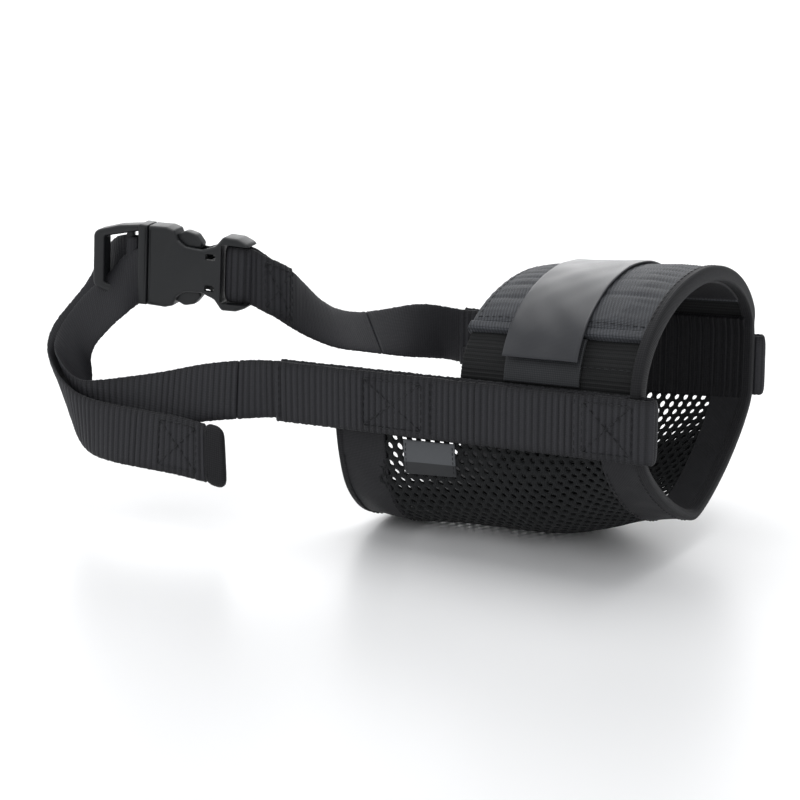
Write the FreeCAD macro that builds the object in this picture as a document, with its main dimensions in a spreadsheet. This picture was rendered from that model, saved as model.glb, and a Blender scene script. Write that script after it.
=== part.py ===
import FreeCAD, Part
import math
import os

# Soft fabric muzzle with a padded nose band, webbing side straps and an adjustable neck
# strap that closes with a side-release buckle.
# Frame, in mm: +X towards the nose opening, +Y towards the far side, +Z up.
# The origin is the point of the chin panel that rests on the table.

doc = FreeCAD.newDocument("soft_muzzle")
Vector = FreeCAD.Vector

# ---------------------------------------------------------------- sizes
SIZES = [
    ("half_width", 44.5, "half the inside width of the muzzle at the side webbing"),
    ("wall_half", 9.0, "half the height of the upright wall behind the side webbing"),
    ("web_mid_front", 49.8, "height of the middle of the side webbing at the front rim"),
    ("web_drop", 0.03, "fall of the side webbing per mm towards the rear"),
    ("crown_front", 90.0, "height of the outside of the nose band at the front"),
    ("crown_drop", 0.09, "fall of the crown per mm towards the rear"),
    ("lip_rise", 9.5, "height of the chin at the front rim"),
    ("x_rim", 50.5, "front rim"),
    ("x_rear", -55.0, "rear edge of the chin panel"),
    ("x_band_rear", -12.0, "rear edge of the nose band"),
    ("binding_width", 3.4, "width of the folded edge binding"),
    ("facing_rear", 13.0, "width of the plain rear facing"),
    ("facing_front", 9.0, "width of the plain front facing"),
    ("mesh_thick", 2.4, "thickness of the air mesh"),
    ("hem_height", 24.0, "height of the band's lower edge above the middle of the webbing"),
    ("web_width", 20.0, "width of the side webbing"),
    ("web_thick", 1.4, "thickness of one layer of webbing"),
    ("web_gap", 2.0, "space between the two layers, where the neck strap is held"),
    ("web_near_front", 56.0, "folded front end of the near side webbing"),
    ("web_far_front", 53.0, "folded front end of the far side webbing"),
    ("web_near_rear", -76.0, "rear end of the near side webbing"),
    ("web_far_rear", -60.0, "rear end of the far side webbing"),
    ("strap_width", 19.2, "width of the neck strap"),
    ("tab_x0", 2.2, "rear edge of the closing strap"),
    ("tab_x1", 27.6, "front edge of the closing strap"),
    ("label_x0", -29.5, "rear edge of the side label"),
    ("label_x1", -13.5, "front edge of the side label"),
    ("buckle_x", -158.9, "outer end of the buckle, x"),
    ("buckle_y", -32.2, "outer end of the buckle, y"),
    ("buckle_z", 78.9, "outer end of the buckle, z"),
    ("buckle_yaw", 12.6, "turn of the buckle about the upright axis, degrees"),
    ("buckle_pitch", 3.0, "dip of the buckle towards the socket, degrees"),
    ("buckle_half", 13.8, "half the width of the buckle"),
    ("frame_len", 20.3, "length of the plug outside the socket"),
    ("socket_len", 26.2, "length of the hollow part of the socket"),
    ("socket_thick", 9.0, "thickness of the socket"),
    ("socket_bore_half", 11.2, "half the width of the socket's hollow"),
    ("socket_bore_thick", 5.8, "thickness of the socket's hollow"),
    ("bar_slot", 3.2, "length of the slot for the fixed strap"),
    ("end_bar", 7.0, "length of the bar at the socket's end"),
    ("plug_thick", 5.6, "thickness of the plug's frame"),
    ("prong_pivot", 23.4, "distance of the prongs' roots from the outer end"),
    ("prong_offset", 7.4, "distance of the prongs' roots from the middle"),
]
sheet = doc.addObject("Spreadsheet::Sheet", "sizes")
for row, (alias, value, words) in enumerate(SIZES, start=1):
    sheet.set("A%d" % row, words)
    sheet.set("B%d" % row, str(value))
    sheet.setAlias("B%d" % row, alias)
doc.recompute()


def size(alias):
    return float(sheet.get(alias))


NODES = []


def node(obj, name):
    obj.Label = name
    NODES.append((name, obj))
    return obj


def shape_node(name, shape):
    """A node whose free-form solid is computed from the sizes."""
    obj = doc.addObject("Part::Feature", name)
    obj.Shape = shape
    obj.Placement = FreeCAD.Placement()
    return node(obj, name)


# ---------------------------------------------------------------- muzzle section
WALL = size("wall_half")
HALF = size("half_width")
X_RIM = size("x_rim")
X_REAR = size("x_rear")
BIND = size("binding_width")


def ease(value, low, high):
    t = min(max((value - low) / (high - low), 0.0), 1.0)
    return t * t * (3.0 - 2.0 * t)


def web_mid(x):
    return size("web_mid_front") - size("web_drop") * (50.0 - x)


def crown(x):
    return size("crown_front") - size("crown_drop") * (50.0 - x)


def belly(x):
    return size("lip_rise") * ease(x, 5.0, 50.0) + 0.9 * (1.0 - ease(x, X_REAR, X_REAR + 20.0))


def squareness(x):
    """Shape of the lower half: boxy at the rear, a blunt V at the chin."""
    return 3.2 - 1.0 * ease(x, -50.0, 0.0) - 0.85 * ease(x, 0.0, 50.0)


def upper_point(x, a, out):
    """Section above the webbing: a runs 0 to 4 from the near wall over the crown."""
    width = HALF + out
    if a < 1.0:
        return Vector(x, -width, web_mid(x) + WALL * a)
    if a > 3.0:
        return Vector(x, width, web_mid(x) + WALL * (4.0 - a))
    base = web_mid(x) + WALL
    height = crown(x) - 2.6 - base + out
    t = math.pi * (1.0 - (a - 1.0) / 2.0)
    return Vector(x, width * math.cos(t), base + height * math.sin(t))


def lower_point(x, b, out):
    """Section below the webbing: b runs 0 to 4 from the near wall under the chin."""
    width = HALF + out
    if b < 1.0:
        return Vector(x, -width, web_mid(x) - WALL * b)
    if b > 3.0:
        return Vector(x, width, web_mid(x) - WALL * (4.0 - b))
    base = web_mid(x) - WALL
    height = base - belly(x) + out
    t = math.pi * (b - 1.0) / 2.0
    n = squareness(x)
    c = abs(math.cos(t))
    s = abs(math.sin(t))
    r = (c ** n + s ** n) ** (-1.0 / n)
    return Vector(x, -width * r * math.cos(t), base - height * r * s)


def spread(low, high, count):
    return [low + (high - low) * i / (count - 1.0) for i in range(count)]


def even_steps(point, x, low, high, count):
    """Section positions from low to high that lie about equally far apart on the cloth."""
    fine = spread(low, high, 400)
    reach = [0.0]
    for i in range(1, len(fine)):
        reach.append(reach[-1] + (point(x, fine[i], 0.0) - point(x, fine[i - 1], 0.0)).Length)
    steps = []
    k = 0
    for target in spread(0.0, reach[-1], count):
        while k < len(reach) - 1 and reach[k] < target:
            k += 1
        steps.append(fine[k])
    return steps


def surface(rows):
    bs = Part.BSplineSurface()
    bs.interpolate(rows)
    return bs


def thick_patch(point, x0, x1, a0, a1, inner, outer, nx=4, na=25):
    """Closed solid between two offsets of the muzzle's surface."""
    xs = spread(x0, x1, nx)
    angles = even_steps(point, 0.5 * (x0 + x1), a0, a1, na)
    outside = surface([[point(x, a, outer) for a in angles] for x in xs])
    inside = surface([[point(x, a, inner) for a in angles] for x in xs])
    faces = [outside.toShape(), inside.toShape()]
    for bound in ("u0", "u1", "v0", "v1"):
        edges = []
        for bs in (outside, inside):
            u0, u1, v0, v1 = bs.bounds()
            curve = {"u0": (bs.uIso, u0), "u1": (bs.uIso, u1), "v0": (bs.vIso, v0), "v1": (bs.vIso, v1)}
            iso, at = curve[bound]
            edges.append(iso(at).toShape())
        faces.append(Part.makeRuledSurface(edges[0], edges[1], 1))
    return closed(faces)


def closed(faces):
    shell = Part.makeShell(faces)
    shell.sewShape()
    solid = Part.makeSolid(Part.Shell(shell.Faces))
    if solid.Volume < 0.0:
        solid.reverse()
    return solid


def hem_position(x_mid=20.0):
    """Section position a of the band's lower edge on the near side."""
    base = WALL
    height = crown(x_mid) - 2.6 - web_mid(x_mid) - base
    return 1.0 + 2.0 / math.pi * math.asin((size("hem_height") - base) / height)


HEM = hem_position()
X_FACE_FRONT = X_RIM - BIND - size("facing_front")
X_FACE_REAR = X_REAR + BIND + size("facing_rear")
GAP = 0.12
MESH = size("mesh_thick")

# Chin panel: air mesh, plain facings at both ends and folded bindings on both edges.
shape_node("mesh_panel", thick_patch(
    lower_point, X_FACE_REAR + GAP, X_FACE_FRONT - GAP, 0.2, 3.8, -MESH, 0.0, 7, 37))
shape_node("rear_facing", thick_patch(
    lower_point, X_REAR + BIND + GAP, X_FACE_REAR, 0.2, 3.8, -MESH - 0.3, 0.0, 4, 37))
shape_node("front_facing", thick_patch(
    lower_point, X_FACE_FRONT, X_RIM - BIND - GAP, 0.2, 3.8, -MESH - 0.3, 0.0, 4, 37))
shape_node("rear_binding", thick_patch(
    lower_point, X_REAR, X_REAR + BIND, 0.3, 3.7, -MESH - 0.9, 0.15, 4, 37))
shape_node("chin_binding", thick_patch(
    lower_point, X_RIM - BIND, X_RIM, -1.1, 5.1, -MESH - 0.9, 0.15, 4, 49))

# Nose band: ribbed shell over foam over a lining, bound at the front, hemmed at the sides.
X_BAND = size("x_band_rear")
X_BAND_FRONT = X_RIM - BIND - GAP
BAND_NEAR = HEM + 0.11
BAND_FAR = 4.0 - BAND_NEAR
shape_node("nose_band_shell", thick_patch(
    upper_point, X_BAND, X_BAND_FRONT, BAND_NEAR, BAND_FAR, 1.6, 2.6, 4, 25))
shape_node("nose_band_foam", thick_patch(
    upper_point, X_BAND + 0.6, X_BAND_FRONT, BAND_NEAR, BAND_FAR, -1.4, 1.5, 4, 25))
shape_node("nose_band_lining", thick_patch(
    upper_point, X_BAND, X_BAND_FRONT, BAND_NEAR, BAND_FAR, -2.1, -1.5, 4, 25))
shape_node("near_band_hem", thick_patch(
    upper_point, X_BAND, X_BAND_FRONT, HEM, HEM + 0.1, -2.1, 2.9, 4, 5))
shape_node("far_band_hem", thick_patch(
    upper_point, X_BAND, X_BAND_FRONT, 3.9 - HEM, 4.0 - HEM, -2.1, 2.9, 4, 5))
shape_node("band_binding", thick_patch(
    upper_point, X_RIM - BIND, X_RIM, 1.09, 2.91, -2.6, 2.9, 4, 33))

# Elastic gussets between the band's hems and the side webbing.
shape_node("near_gusset", thick_patch(
    upper_point, X_BAND + 1.0, X_BAND_FRONT, 0.0, HEM - 0.02, -1.2, 0.0, 4, 13))
shape_node("far_gusset", thick_patch(
    upper_point, X_BAND + 1.0, X_BAND_FRONT, 4.02 - HEM, 4.0, -1.2, 0.0, 4, 13))

# Closing strap: sewn down over the far side, free over the near side, where a patch of
# hook tape under its end grips the loop patch on the gusset.
TAB0 = size("tab_x0")
TAB1 = size("tab_x1")
TAB_SPLIT = 1.95
shape_node("closing_strap_fixed", thick_patch(
    upper_point, TAB0, TAB1, TAB_SPLIT + 0.02, 4.04 - HEM, 3.1, 4.3, 4, 21))
shape_node("closing_strap_tab", thick_patch(
    upper_point, TAB0, TAB1, HEM - 0.15, TAB_SPLIT, 3.1, 4.3, 4, 15))
shape_node("hook_patch", thick_patch(
    upper_point, TAB0 + 1.2, TAB1 - 1.2, HEM - 0.14, HEM - 0.01, 1.6, 3.0, 4, 5))
shape_node("loop_patch", thick_patch(
    upper_point, TAB0, TAB1, 1.04, HEM - 0.03, 0.12, 1.4, 4, 9))


# ---------------------------------------------------------------- side webbing
def cut(base, tool):
    obj = doc.addObject("Part::Cut", "cut")
    obj.Base = base
    obj.Tool = tool
    return obj


def fuse(objs):
    obj = doc.addObject("Part::MultiFuse", "fuse")
    obj.Shapes = objs
    return obj


def box(x, y, z, lx, ly, lz):
    """A Part::Box whose corner and sides are bound to expressions of the sizes."""
    obj = doc.addObject("Part::Box", "box")
    for prop, expression in (("Length", lx), ("Width", ly), ("Height", lz)):
        obj.setExpression(prop, expression)
    for axis, expression in (("x", x), ("y", y), ("z", z)):
        obj.setExpression("Placement.Base." + axis, expression)
    return obj


def cylinder(x, y, z, radius, height, rotation=None):
    obj = doc.addObject("Part::Cylinder", "cylinder")
    if rotation:
        obj.Placement = FreeCAD.Placement(Vector(), rotation)
    obj.setExpression("Radius", radius)
    obj.setExpression("Height", height)
    for axis, expression in (("x", x), ("y", y), ("z", z)):
        obj.setExpression("Placement.Base." + axis, expression)
    return obj


WEB_PITCH = math.degrees(math.atan(size("web_drop")))
LAYER = "sizes.web_thick"
INNER_Y = size("half_width") + 0.3


def side_webbing(name, side, front, rear):
    """Two layers with a fold at the front, lying along X and falling slightly to the rear."""
    mid = size("web_mid_front") - size("web_drop") * 50.0
    length = "(sizes.%s - sizes.%s - 2.4)" % (front, rear)
    start = "sizes." + rear
    low = "-sizes.web_width / 2"
    deep = "(2 * sizes.web_thick + sizes.web_gap)"
    inner = box(start, "0.3", low, length, LAYER, "sizes.web_width")
    outer = box(start, "0.3 + sizes.web_thick + sizes.web_gap", low, length, LAYER, "sizes.web_width")
    fold_x = "sizes.%s - 2.4" % front
    fold = cylinder(fold_x, "0.3 + %s / 2" % deep, low, deep + " / 2", "sizes.web_width")
    fold_hole = cylinder(fold_x, "0.3 + %s / 2" % deep, low, "sizes.web_gap / 2", "sizes.web_width")
    behind = box(fold_x + " - 6", "-1", low, "6", "8", "sizes.web_width")
    bend = cut(cut(fold, fold_hole), behind)
    webbing = fuse([inner, outer, bend])
    doc.recompute()
    spin = FreeCAD.Rotation(Vector(0, 1, 0), -WEB_PITCH)
    if side < 0:
        spin = spin.multiply(FreeCAD.Rotation(Vector(1, 0, 0), 180))
    webbing.Placement = FreeCAD.Placement(Vector(0, side * HALF, mid), spin)
    return node(webbing, name)


side_webbing("near_side_webbing", -1, "web_near_front", "web_near_rear")
side_webbing("far_side_webbing", 1, "web_far_front", "web_far_rear")


# ---------------------------------------------------------------- stitching
def thread(start, end, up, thick=0.5, high=0.35):
    """A straight run of thread as a thin bar from start to end, standing on up."""
    along = end.sub(start)
    length = along.Length
    along.normalize()
    side = up.cross(along)
    side.normalize()
    top = along.cross(side)
    spin = FreeCAD.Rotation(along, side, top, "XYZ")
    bar = Part.makeBox(length, thick, high)
    bar.Placement = FreeCAD.Placement(start.sub(side * (thick / 2.0)), spin)
    return bar


def stitch_run(place, start, end, parts):
    """Threads laid end to end from start to end, each given as (along, across) on the strap."""
    gap = 0.08
    runs = []
    for i in range(parts):
        ends = []
        for share in ((i + gap) / parts, (i + 1 - gap) / parts):
            along = start[0] + (end[0] - start[0]) * share
            across = start[1] + (end[1] - start[1]) * share
            ends.append(place(along, across))
        runs.append(thread(ends[0][0], ends[1][0], (ends[0][1] + ends[1][1]) * 0.5))
    return runs


def box_stitch(place, x0, x1, half, inset, parts=1):
    """Four sides and two diagonals of a box stitch; place(along, across) gives point and normal."""
    corners = [(x0, -half), (x1, -half), (x1, half), (x0, half)]
    runs = []
    for i in range(4):
        runs += stitch_run(place, corners[i], corners[(i + 1) % 4], parts)
    middle = ((x0 + x1) / 2.0, 0.0)
    for i, (across_x, across_y) in enumerate(((1, 1), (-1, 1), (-1, -1), (1, -1))):
        corner = (middle[0] + across_x * ((x1 - x0) / 2.0 - inset), across_y * (half - 0.9))
        clear = 0.12
        start = (middle[0] + (corner[0] - middle[0]) * clear, corner[1] * clear)
        runs += stitch_run(place, start, corner, max(1, parts // 2))
    return runs


WEB_OUT = HALF + 0.3 + 2.0 * size("web_thick") + size("web_gap") + 0.02


def web_place(side):
    return lambda x, w: (Vector(x, side * WEB_OUT, web_mid(x) + w), Vector(0, side, 0))


for name, side in (("near_web_stitches", -1), ("far_web_stitches", 1)):
    runs = box_stitch(web_place(side), -43.0, -22.0, 7.6, 1.2)
    runs += box_stitch(web_place(side), 34.0, 47.0, 7.6, 1.2)
    shape_node(name, Part.makeCompound(runs))


shape_node("side_label", thick_patch(
    lower_point, size("label_x0"), size("label_x1"), 1.04, 1.25, 0.12, 0.8, 4, 9))


# ---------------------------------------------------------------- ribbons
def station(x, y, z, wide_x, wide_y, wide_z):
    """Middle of the strap and the direction of its width."""
    wide = Vector(wide_x, wide_y, wide_z)
    wide.normalize()
    return Vector(x, y, z), wide


def smooth(points, steps):
    """Points on a smooth curve through the given ones."""
    ends = [points[0] * 2.0 - points[1]] + list(points) + [points[-1] * 2.0 - points[-2]]
    out = []
    for i in range(1, len(ends) - 2):
        p0, p1, p2, p3 = ends[i - 1], ends[i], ends[i + 1], ends[i + 2]
        for k in range(steps):
            t = k / float(steps)
            lin = (p2 - p0) * t
            quad = (p0 * 2.0 - p1 * 5.0 + p2 * 4.0 - p3) * (t * t)
            cube = (p1 * 3.0 - p0 - p2 * 3.0 + p3) * (t * t * t)
            out.append((p1 * 2.0 + lin + quad + cube) * 0.5)
    out.append(ends[-2])
    return out


def ribbon(stations, width, thick, steps=3, trim_start=0.0, trim_end=0.0):
    """Flat strap through the stations, as a closed solid."""
    middles = smooth([s[0] for s in stations], steps)
    widths = smooth([s[1] for s in stations], steps)
    count = len(middles)
    corners = [[], [], [], []]
    for i in range(count):
        ahead = middles[min(i + 1, count - 1)] - middles[max(i - 1, 0)]
        ahead.normalize()
        wide = widths[i] * 1.0
        wide.normalize()
        normal = ahead.cross(wide)
        normal.normalize()
        centre = middles[i]
        if i == 0:
            centre = centre + ahead * trim_start
        if i == count - 1:
            centre = centre - ahead * trim_end
        for k, (w, n) in enumerate(((1, 1), (-1, 1), (-1, -1), (1, -1))):
            corners[k].append(centre + wide * (w * width / 2.0) + normal * (n * thick / 2.0))
    curves = []
    for row in corners:
        curve = Part.BSplineCurve()
        curve.interpolate(Points=row, Parameters=spread(0.0, 1.0, count))
        curves.append(curve.toShape())
    faces = [Part.makeRuledSurface(curves[k], curves[(k + 1) % 4], 1) for k in range(4)]
    for end in (0, -1):
        ring = [row[end] for row in corners]
        faces.append(Part.Face(Part.makePolygon(ring + ring[:1])))
    return closed(faces)


STRAP = size("strap_width")
THICK = size("web_thick") - 0.1
MID_Y = HALF + 0.3 + size("web_thick") + size("web_gap") / 2.0
YAW = size("buckle_yaw")
PITCH = size("buckle_pitch")
BUCKLE = FreeCAD.Placement(
    Vector(size("buckle_x"), size("buckle_y"), size("buckle_z")), FreeCAD.Rotation(YAW, PITCH, 0.0))


def buckle_station(along, out, across=0.0):
    """A strap station in the buckle's own frame: out is towards the inside of the loop."""
    return BUCKLE.multVec(Vector(along, -out, across)), BUCKLE.Rotation.multVec(Vector(0, 0, 1))


NEAR = [station(-47, -MID_Y, web_mid(-47), 0, 0, 1), station(-62, -MID_Y, web_mid(-62), 0, 0, 1),
        station(-79, -MID_Y, web_mid(-79), 0, 0, 1), station(-91, -48.6, 44.4, -0.07, 0.2, 0.98),
        station(-105, -50.0, 41.7, -0.1, 0.28, 0.95), station(-119, -52.0, 38.0, -0.1, 0.3, 0.93),
        station(-131, -53.8, 35.0, -0.1, 0.22, 0.95), station(-141, -55.0, 33.0, -0.15, 0.1, 0.98),
        station(-149.5, -54.6, 32.0, -0.25, -0.1, 0.95)]
REAR = [NEAR[-1], station(-157, -51.0, 33.0, -0.4, -0.38, 0.84),
        station(-161.8, -46.0, 37.2, -0.6, -0.42, 0.65), station(-163.5, -41.5, 43.5, -0.8, -0.12, 0.5),
        station(-162.6, -38.8, 50.0, -0.84, 0.2, 0.42), station(-159.6, -37.4, 56.5, -0.8, 0.3, 0.5),
        station(-155, -36.6, 62.5, -0.65, 0.25, 0.7), station(-149.5, -35.5, 68.5, -0.4, 0.1, 0.9),
        buckle_station(14.3, 2.4, -1.0)]
shape_node("near_neck_strap", ribbon(NEAR, STRAP, THICK, trim_end=0.25))
shape_node("rear_neck_strap", ribbon(REAR, STRAP, THICK, trim_start=0.25))

TAIL_IN = [buckle_station(8.5, 1.4, -2.0), station(-157.5, -34.4, 62.0, -0.65, 0.25, 0.7),
           station(-161.0, -35.0, 55.0, -0.8, 0.3, 0.5), station(-164.2, -36.3, 48.6, -0.84, 0.2, 0.42),
           station(-165.8, -40.0, 41.8, -0.8, -0.12, 0.5), station(-164.2, -47.0, 34.8, -0.6, -0.42, 0.65),
           station(-159.5, -53.8, 30.2, -0.4, -0.35, 0.84), station(-152.5, -58.8, 28.3, -0.25, -0.05, 0.95),
           station(-144, -61.0, 27.8, -0.12, 0.15, 0.97)]
TAIL_OUT = [TAIL_IN[-1], station(-132, -62.0, 27.5, -0.1, 0.25, 0.95),
            station(-120, -61.6, 27.0, -0.1, 0.28, 0.95), station(-106, -60.4, 26.2, -0.12, 0.25, 0.95),
            station(-97, -59.4, 25.0, -0.15, 0.22, 0.95), station(-89.5, -58.6, 23.9, -0.17, 0.2, 0.95)]
shape_node("rear_tail_layer", ribbon(TAIL_IN, STRAP, THICK, trim_end=0.9))
shape_node("tail_strap", ribbon(TAIL_OUT[:-1], STRAP, THICK, trim_start=0.9, trim_end=0.1))
shape_node("tail_end_hem", ribbon(TAIL_OUT[-2:], STRAP, 2.6 * THICK, steps=4))

FAR = [buckle_station(54.6, 2.9), station(-97.5, -15.0, 70.6, -0.1, 0.15, 0.98),
       station(-96.0, -6.5, 65.4, -0.15, 0.3, 0.93), station(-94.6, 2.5, 59.4, -0.35, 0.36, 0.84),
       station(-92.0, 11.0, 54.0, -0.55, 0.42, 0.7), station(-88.6, 19.0, 50.8, -0.65, 0.46, 0.6),
       station(-84.0, 27.0, 49.0, -0.62, 0.46, 0.64), station(-78.6, 35.0, 48.3, -0.45, 0.4, 0.8),
       station(-73.0, 42.2, 47.9, -0.2, 0.2, 0.95), station(-67.0, MID_Y - 0.1, 46.9, 0, 0, 1),
       station(-60.0, MID_Y, web_mid(-60), 0, 0, 1), station(-48.0, MID_Y, web_mid(-48), 0, 0, 1)]
shape_node("far_neck_strap", ribbon(FAR, STRAP, THICK))


def along_path(stations, at, across, out):
    """A point on a strap's face and its normal: at counts stations, across and out are in mm."""
    fine = 20
    middles = smooth([s[0] for s in stations], fine)
    widths = smooth([s[1] for s in stations], fine)
    i = min(max(int(round(at * fine)), 1), len(middles) - 2)
    wide = widths[i] * 1.0
    wide.normalize()
    ahead = middles[i + 1] - middles[i - 1]
    ahead.normalize()
    normal = ahead.cross(wide)
    normal.normalize()
    return middles[i] + wide * across + normal * out, normal * (1.0 if out > 0 else -1.0)


def path_stitch(name, stations, at0, at1, half, out):
    shape_node(name, Part.makeCompound(
        box_stitch(lambda at, w: along_path(stations, at, w, out), at0, at1, half, 0.12, 4)))


# ---------------------------------------------------------------- buckle
# Buckle frame: x from the plug's outer bar towards the socket, z across the strap,
# -y towards the inside of the neck loop.
def mount_buckle(obj, name):
    doc.recompute()
    obj.Placement = BUCKLE
    return node(obj, name)


def slab(x0, x1, half_thick, z0, z1):
    """A block in the buckle frame, centred on y = 0."""
    return box(x0, "-(%s)" % half_thick, z0, "(%s) - (%s)" % (x1, x0), "2 * (%s)" % half_thick,
               "(%s) - (%s)" % (z1, z0))


B = "sizes.buckle_half"
MOUTH = "sizes.frame_len"
BORE = "sizes.socket_bore_half"
END_WALL = "(sizes.frame_len + sizes.socket_len)"
TOTAL = "(sizes.frame_len + sizes.socket_len + sizes.bar_slot + sizes.end_bar)"

# Socket: hollow shell, side windows for the prongs, two core holes, strap slot and end bar.
socket_body = slab(MOUTH + " + 0.3", TOTAL, "sizes.socket_thick / 2", "-" + B, B)
socket_bore = slab(MOUTH, END_WALL + " - 4", "sizes.socket_bore_thick / 2", "-" + BORE, BORE)
tools = [socket_bore]
for side in (1, -1):
    window = box(MOUTH + " + 8.2", "-8", "sizes.buckle_half * %s" % ("0.72" if side > 0 else "-1.3"),
                 "11.4", "16", "sizes.buckle_half * 0.58")
    tools.append(window)
    notch = cylinder(END_WALL + " - 1.4", "-8", "sizes.buckle_half * %s" % (side * 1.12), "2.6", "16",
                     FreeCAD.Rotation(Vector(1, 0, 0), -90))
    tools.append(notch)
    core = box(END_WALL + " - 3.2", "-8", "%s" % (6.1 * side - 0.9), "3.4", "16", "1.8")
    tools.append(core)
strap_slot = slab(END_WALL, END_WALL + " + sizes.bar_slot", "8", "-10.4", "10.4")
thin_bar_a = box(END_WALL + " + sizes.bar_slot", "1.6", "-10.4", "8", "6", "20.8")
thin_bar_b = box(END_WALL + " + sizes.bar_slot", "-7.6", "-10.4", "8", "6", "20.8")
bar_back = slab(TOTAL + " - 3.4", TOTAL + " + 1", "8", "-10.4", "10.4")
tools += [strap_slot, thin_bar_a, thin_bar_b, bar_back]
mount_buckle(cut(socket_body, fuse(tools)), "buckle_socket")

# Plug: open frame with an outer bar and a centre bar for the strap, and a guide tongue.
PLUG = "sizes.plug_thick / 2"
plug_parts = [slab("0", MOUTH, PLUG, B + " - 2.3", B),
              slab("0", MOUTH, PLUG, "-" + B, "-(" + B + " - 2.3)"),
              slab("0", "3.2", "2.2", "-" + B, B),
              slab("11.4", "13.8", "1.1", "-" + B, B),
              slab("16.9", MOUTH, "sizes.socket_thick / 2 - 0.2", "-" + B, B),
              slab(MOUTH, MOUTH + " + 17.5", "1.7", "-3", "3")]
mount_buckle(fuse(plug_parts), "buckle_plug")


def prong(name, side):
    """Sprung arm with a round root and a catch that fills the socket's side window."""
    spin = FreeCAD.Rotation(Vector(1, 0, 0), -90)
    pivot = "sizes.prong_pivot"
    off = "sizes.prong_offset * %d" % side
    root = cylinder(pivot, "-2.2", off, "2.4", "4.4", spin)
    arm = box(pivot, "-2.2", off + " - 1.2", "15", "4.4", "2.4")
    catch_z = "sizes.prong_offset * %d + 1.5 * %d" % (side, side)
    catch = cylinder(pivot + " + 11.3", "-2.2", catch_z, "3.9", "4.4", spin)
    return mount_buckle(fuse([root, arm, catch]), name)


prong("upper_prong", 1)
prong("lower_prong", -1)

# The strap's turn round the plug's centre bar and the fixed end's turn round the end bar.
wrap_outer = slab("9.2", "15.4", "2.7", "-sizes.strap_width / 2", "sizes.strap_width / 2")
wrap_inner = slab("9.0", "14.1", "1.35", "-12", "12")
mount_buckle(cut(wrap_outer, wrap_inner), "bar_wrap")
fold_outer = slab(END_WALL + " + 0.6", TOTAL + " + 1.6", "3.2", "-sizes.strap_width / 2", "sizes.strap_width / 2")
fold_inner = slab(END_WALL + " + 1.9", TOTAL + " + 2", "1.8", "-12", "12")
mount_buckle(cut(fold_outer, fold_inner), "far_strap_fold")


path_stitch("far_fold_stitches", FAR, 1.3, 3.1, 7.2, -THICK / 2.0 - 0.15)
path_stitch("tail_stitches", TAIL_OUT, 2.7, 3.9, 7.0, THICK / 2.0 + 0.12)


# ---------------------------------------------------------------- finish
doc.recompute()
for obj in doc.Objects:
    if "Invalid" in obj.State or "Error" in obj.State:
        raise RuntimeError("%s: %s" % (obj.Label, obj.State))
os.makedirs("parts", exist_ok=True)
for name, obj in NODES:
    if obj.Shape.isNull() or not obj.Shape.isValid():
        raise RuntimeError("bad shape: " + name)
    obj.Shape.exportStep("parts/%s.step" % name)
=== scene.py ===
import math

import bmesh
import bpy
import numpy as np
from mathutils import Matrix, Vector


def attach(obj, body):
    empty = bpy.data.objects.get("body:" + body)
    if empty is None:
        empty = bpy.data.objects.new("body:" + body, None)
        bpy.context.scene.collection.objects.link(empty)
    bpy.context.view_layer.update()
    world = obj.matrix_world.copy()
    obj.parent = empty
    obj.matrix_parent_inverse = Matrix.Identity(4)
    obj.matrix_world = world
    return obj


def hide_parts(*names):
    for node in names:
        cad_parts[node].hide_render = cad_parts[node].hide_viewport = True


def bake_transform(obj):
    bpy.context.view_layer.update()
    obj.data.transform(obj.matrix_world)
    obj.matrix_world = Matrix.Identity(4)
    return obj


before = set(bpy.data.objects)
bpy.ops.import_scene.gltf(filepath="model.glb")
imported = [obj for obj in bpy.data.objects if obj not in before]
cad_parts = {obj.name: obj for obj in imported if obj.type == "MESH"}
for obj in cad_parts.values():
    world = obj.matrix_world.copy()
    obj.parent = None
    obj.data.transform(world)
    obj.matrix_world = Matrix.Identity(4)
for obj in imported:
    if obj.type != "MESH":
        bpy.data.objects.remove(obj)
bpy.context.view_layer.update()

MM = 0.001

# ---------------- sizes, mm, as in the CAD
HALF = 44.5
WALL = 9.0
X_RIM = 50.5
X_REAR = -55.0
BIND = 3.4
X_FACE_FRONT = 38.1
X_FACE_REAR = -38.6
X_BAND = -12.0
MESH = 2.4
TAB0 = 2.2
TAB1 = 27.6
WEB = 20.0
STRAP = 19.2
THICK = 1.3
CROWN_DROP = 2.6

# ---------------- sizes of the looks alone, mm
RIB = 2.2
FLOOR_GAP = 0.04
SAMPLES = 2400
SHORT_OF_END = 1.001


def ease(value, low, high):
    t = np.clip((value - low) / (high - low), 0.0, 1.0)
    return t * t * (3.0 - 2.0 * t)


def web_mid(x):
    return 49.8 - 0.03 * (50.0 - x)


def crown(x):
    return 90.0 - 0.09 * (50.0 - x)


def belly(x):
    return 9.5 * ease(x, 5.0, 50.0) + 0.9 * (1.0 - ease(x, -55.0, -35.0))


def squareness(x):
    return 3.2 - 1.0 * ease(x, -50.0, 0.0) - 0.85 * ease(x, 0.0, 50.0)


def upper_raw(x, a):
    """Section above the webbing, a from 0 at the near wall to 4 at the far one."""
    base = web_mid(x) + WALL
    height = crown(x) - CROWN_DROP - base
    t = np.pi * (1.0 - np.clip((a - 1.0) / 2.0, 0.0, 1.0))
    y = HALF * np.cos(t)
    z = base + height * np.sin(t)
    z = np.where(a < 1.0, web_mid(x) + WALL * a, z)
    z = np.where(a > 3.0, web_mid(x) + WALL * (4.0 - a), z)
    return y, z


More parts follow.
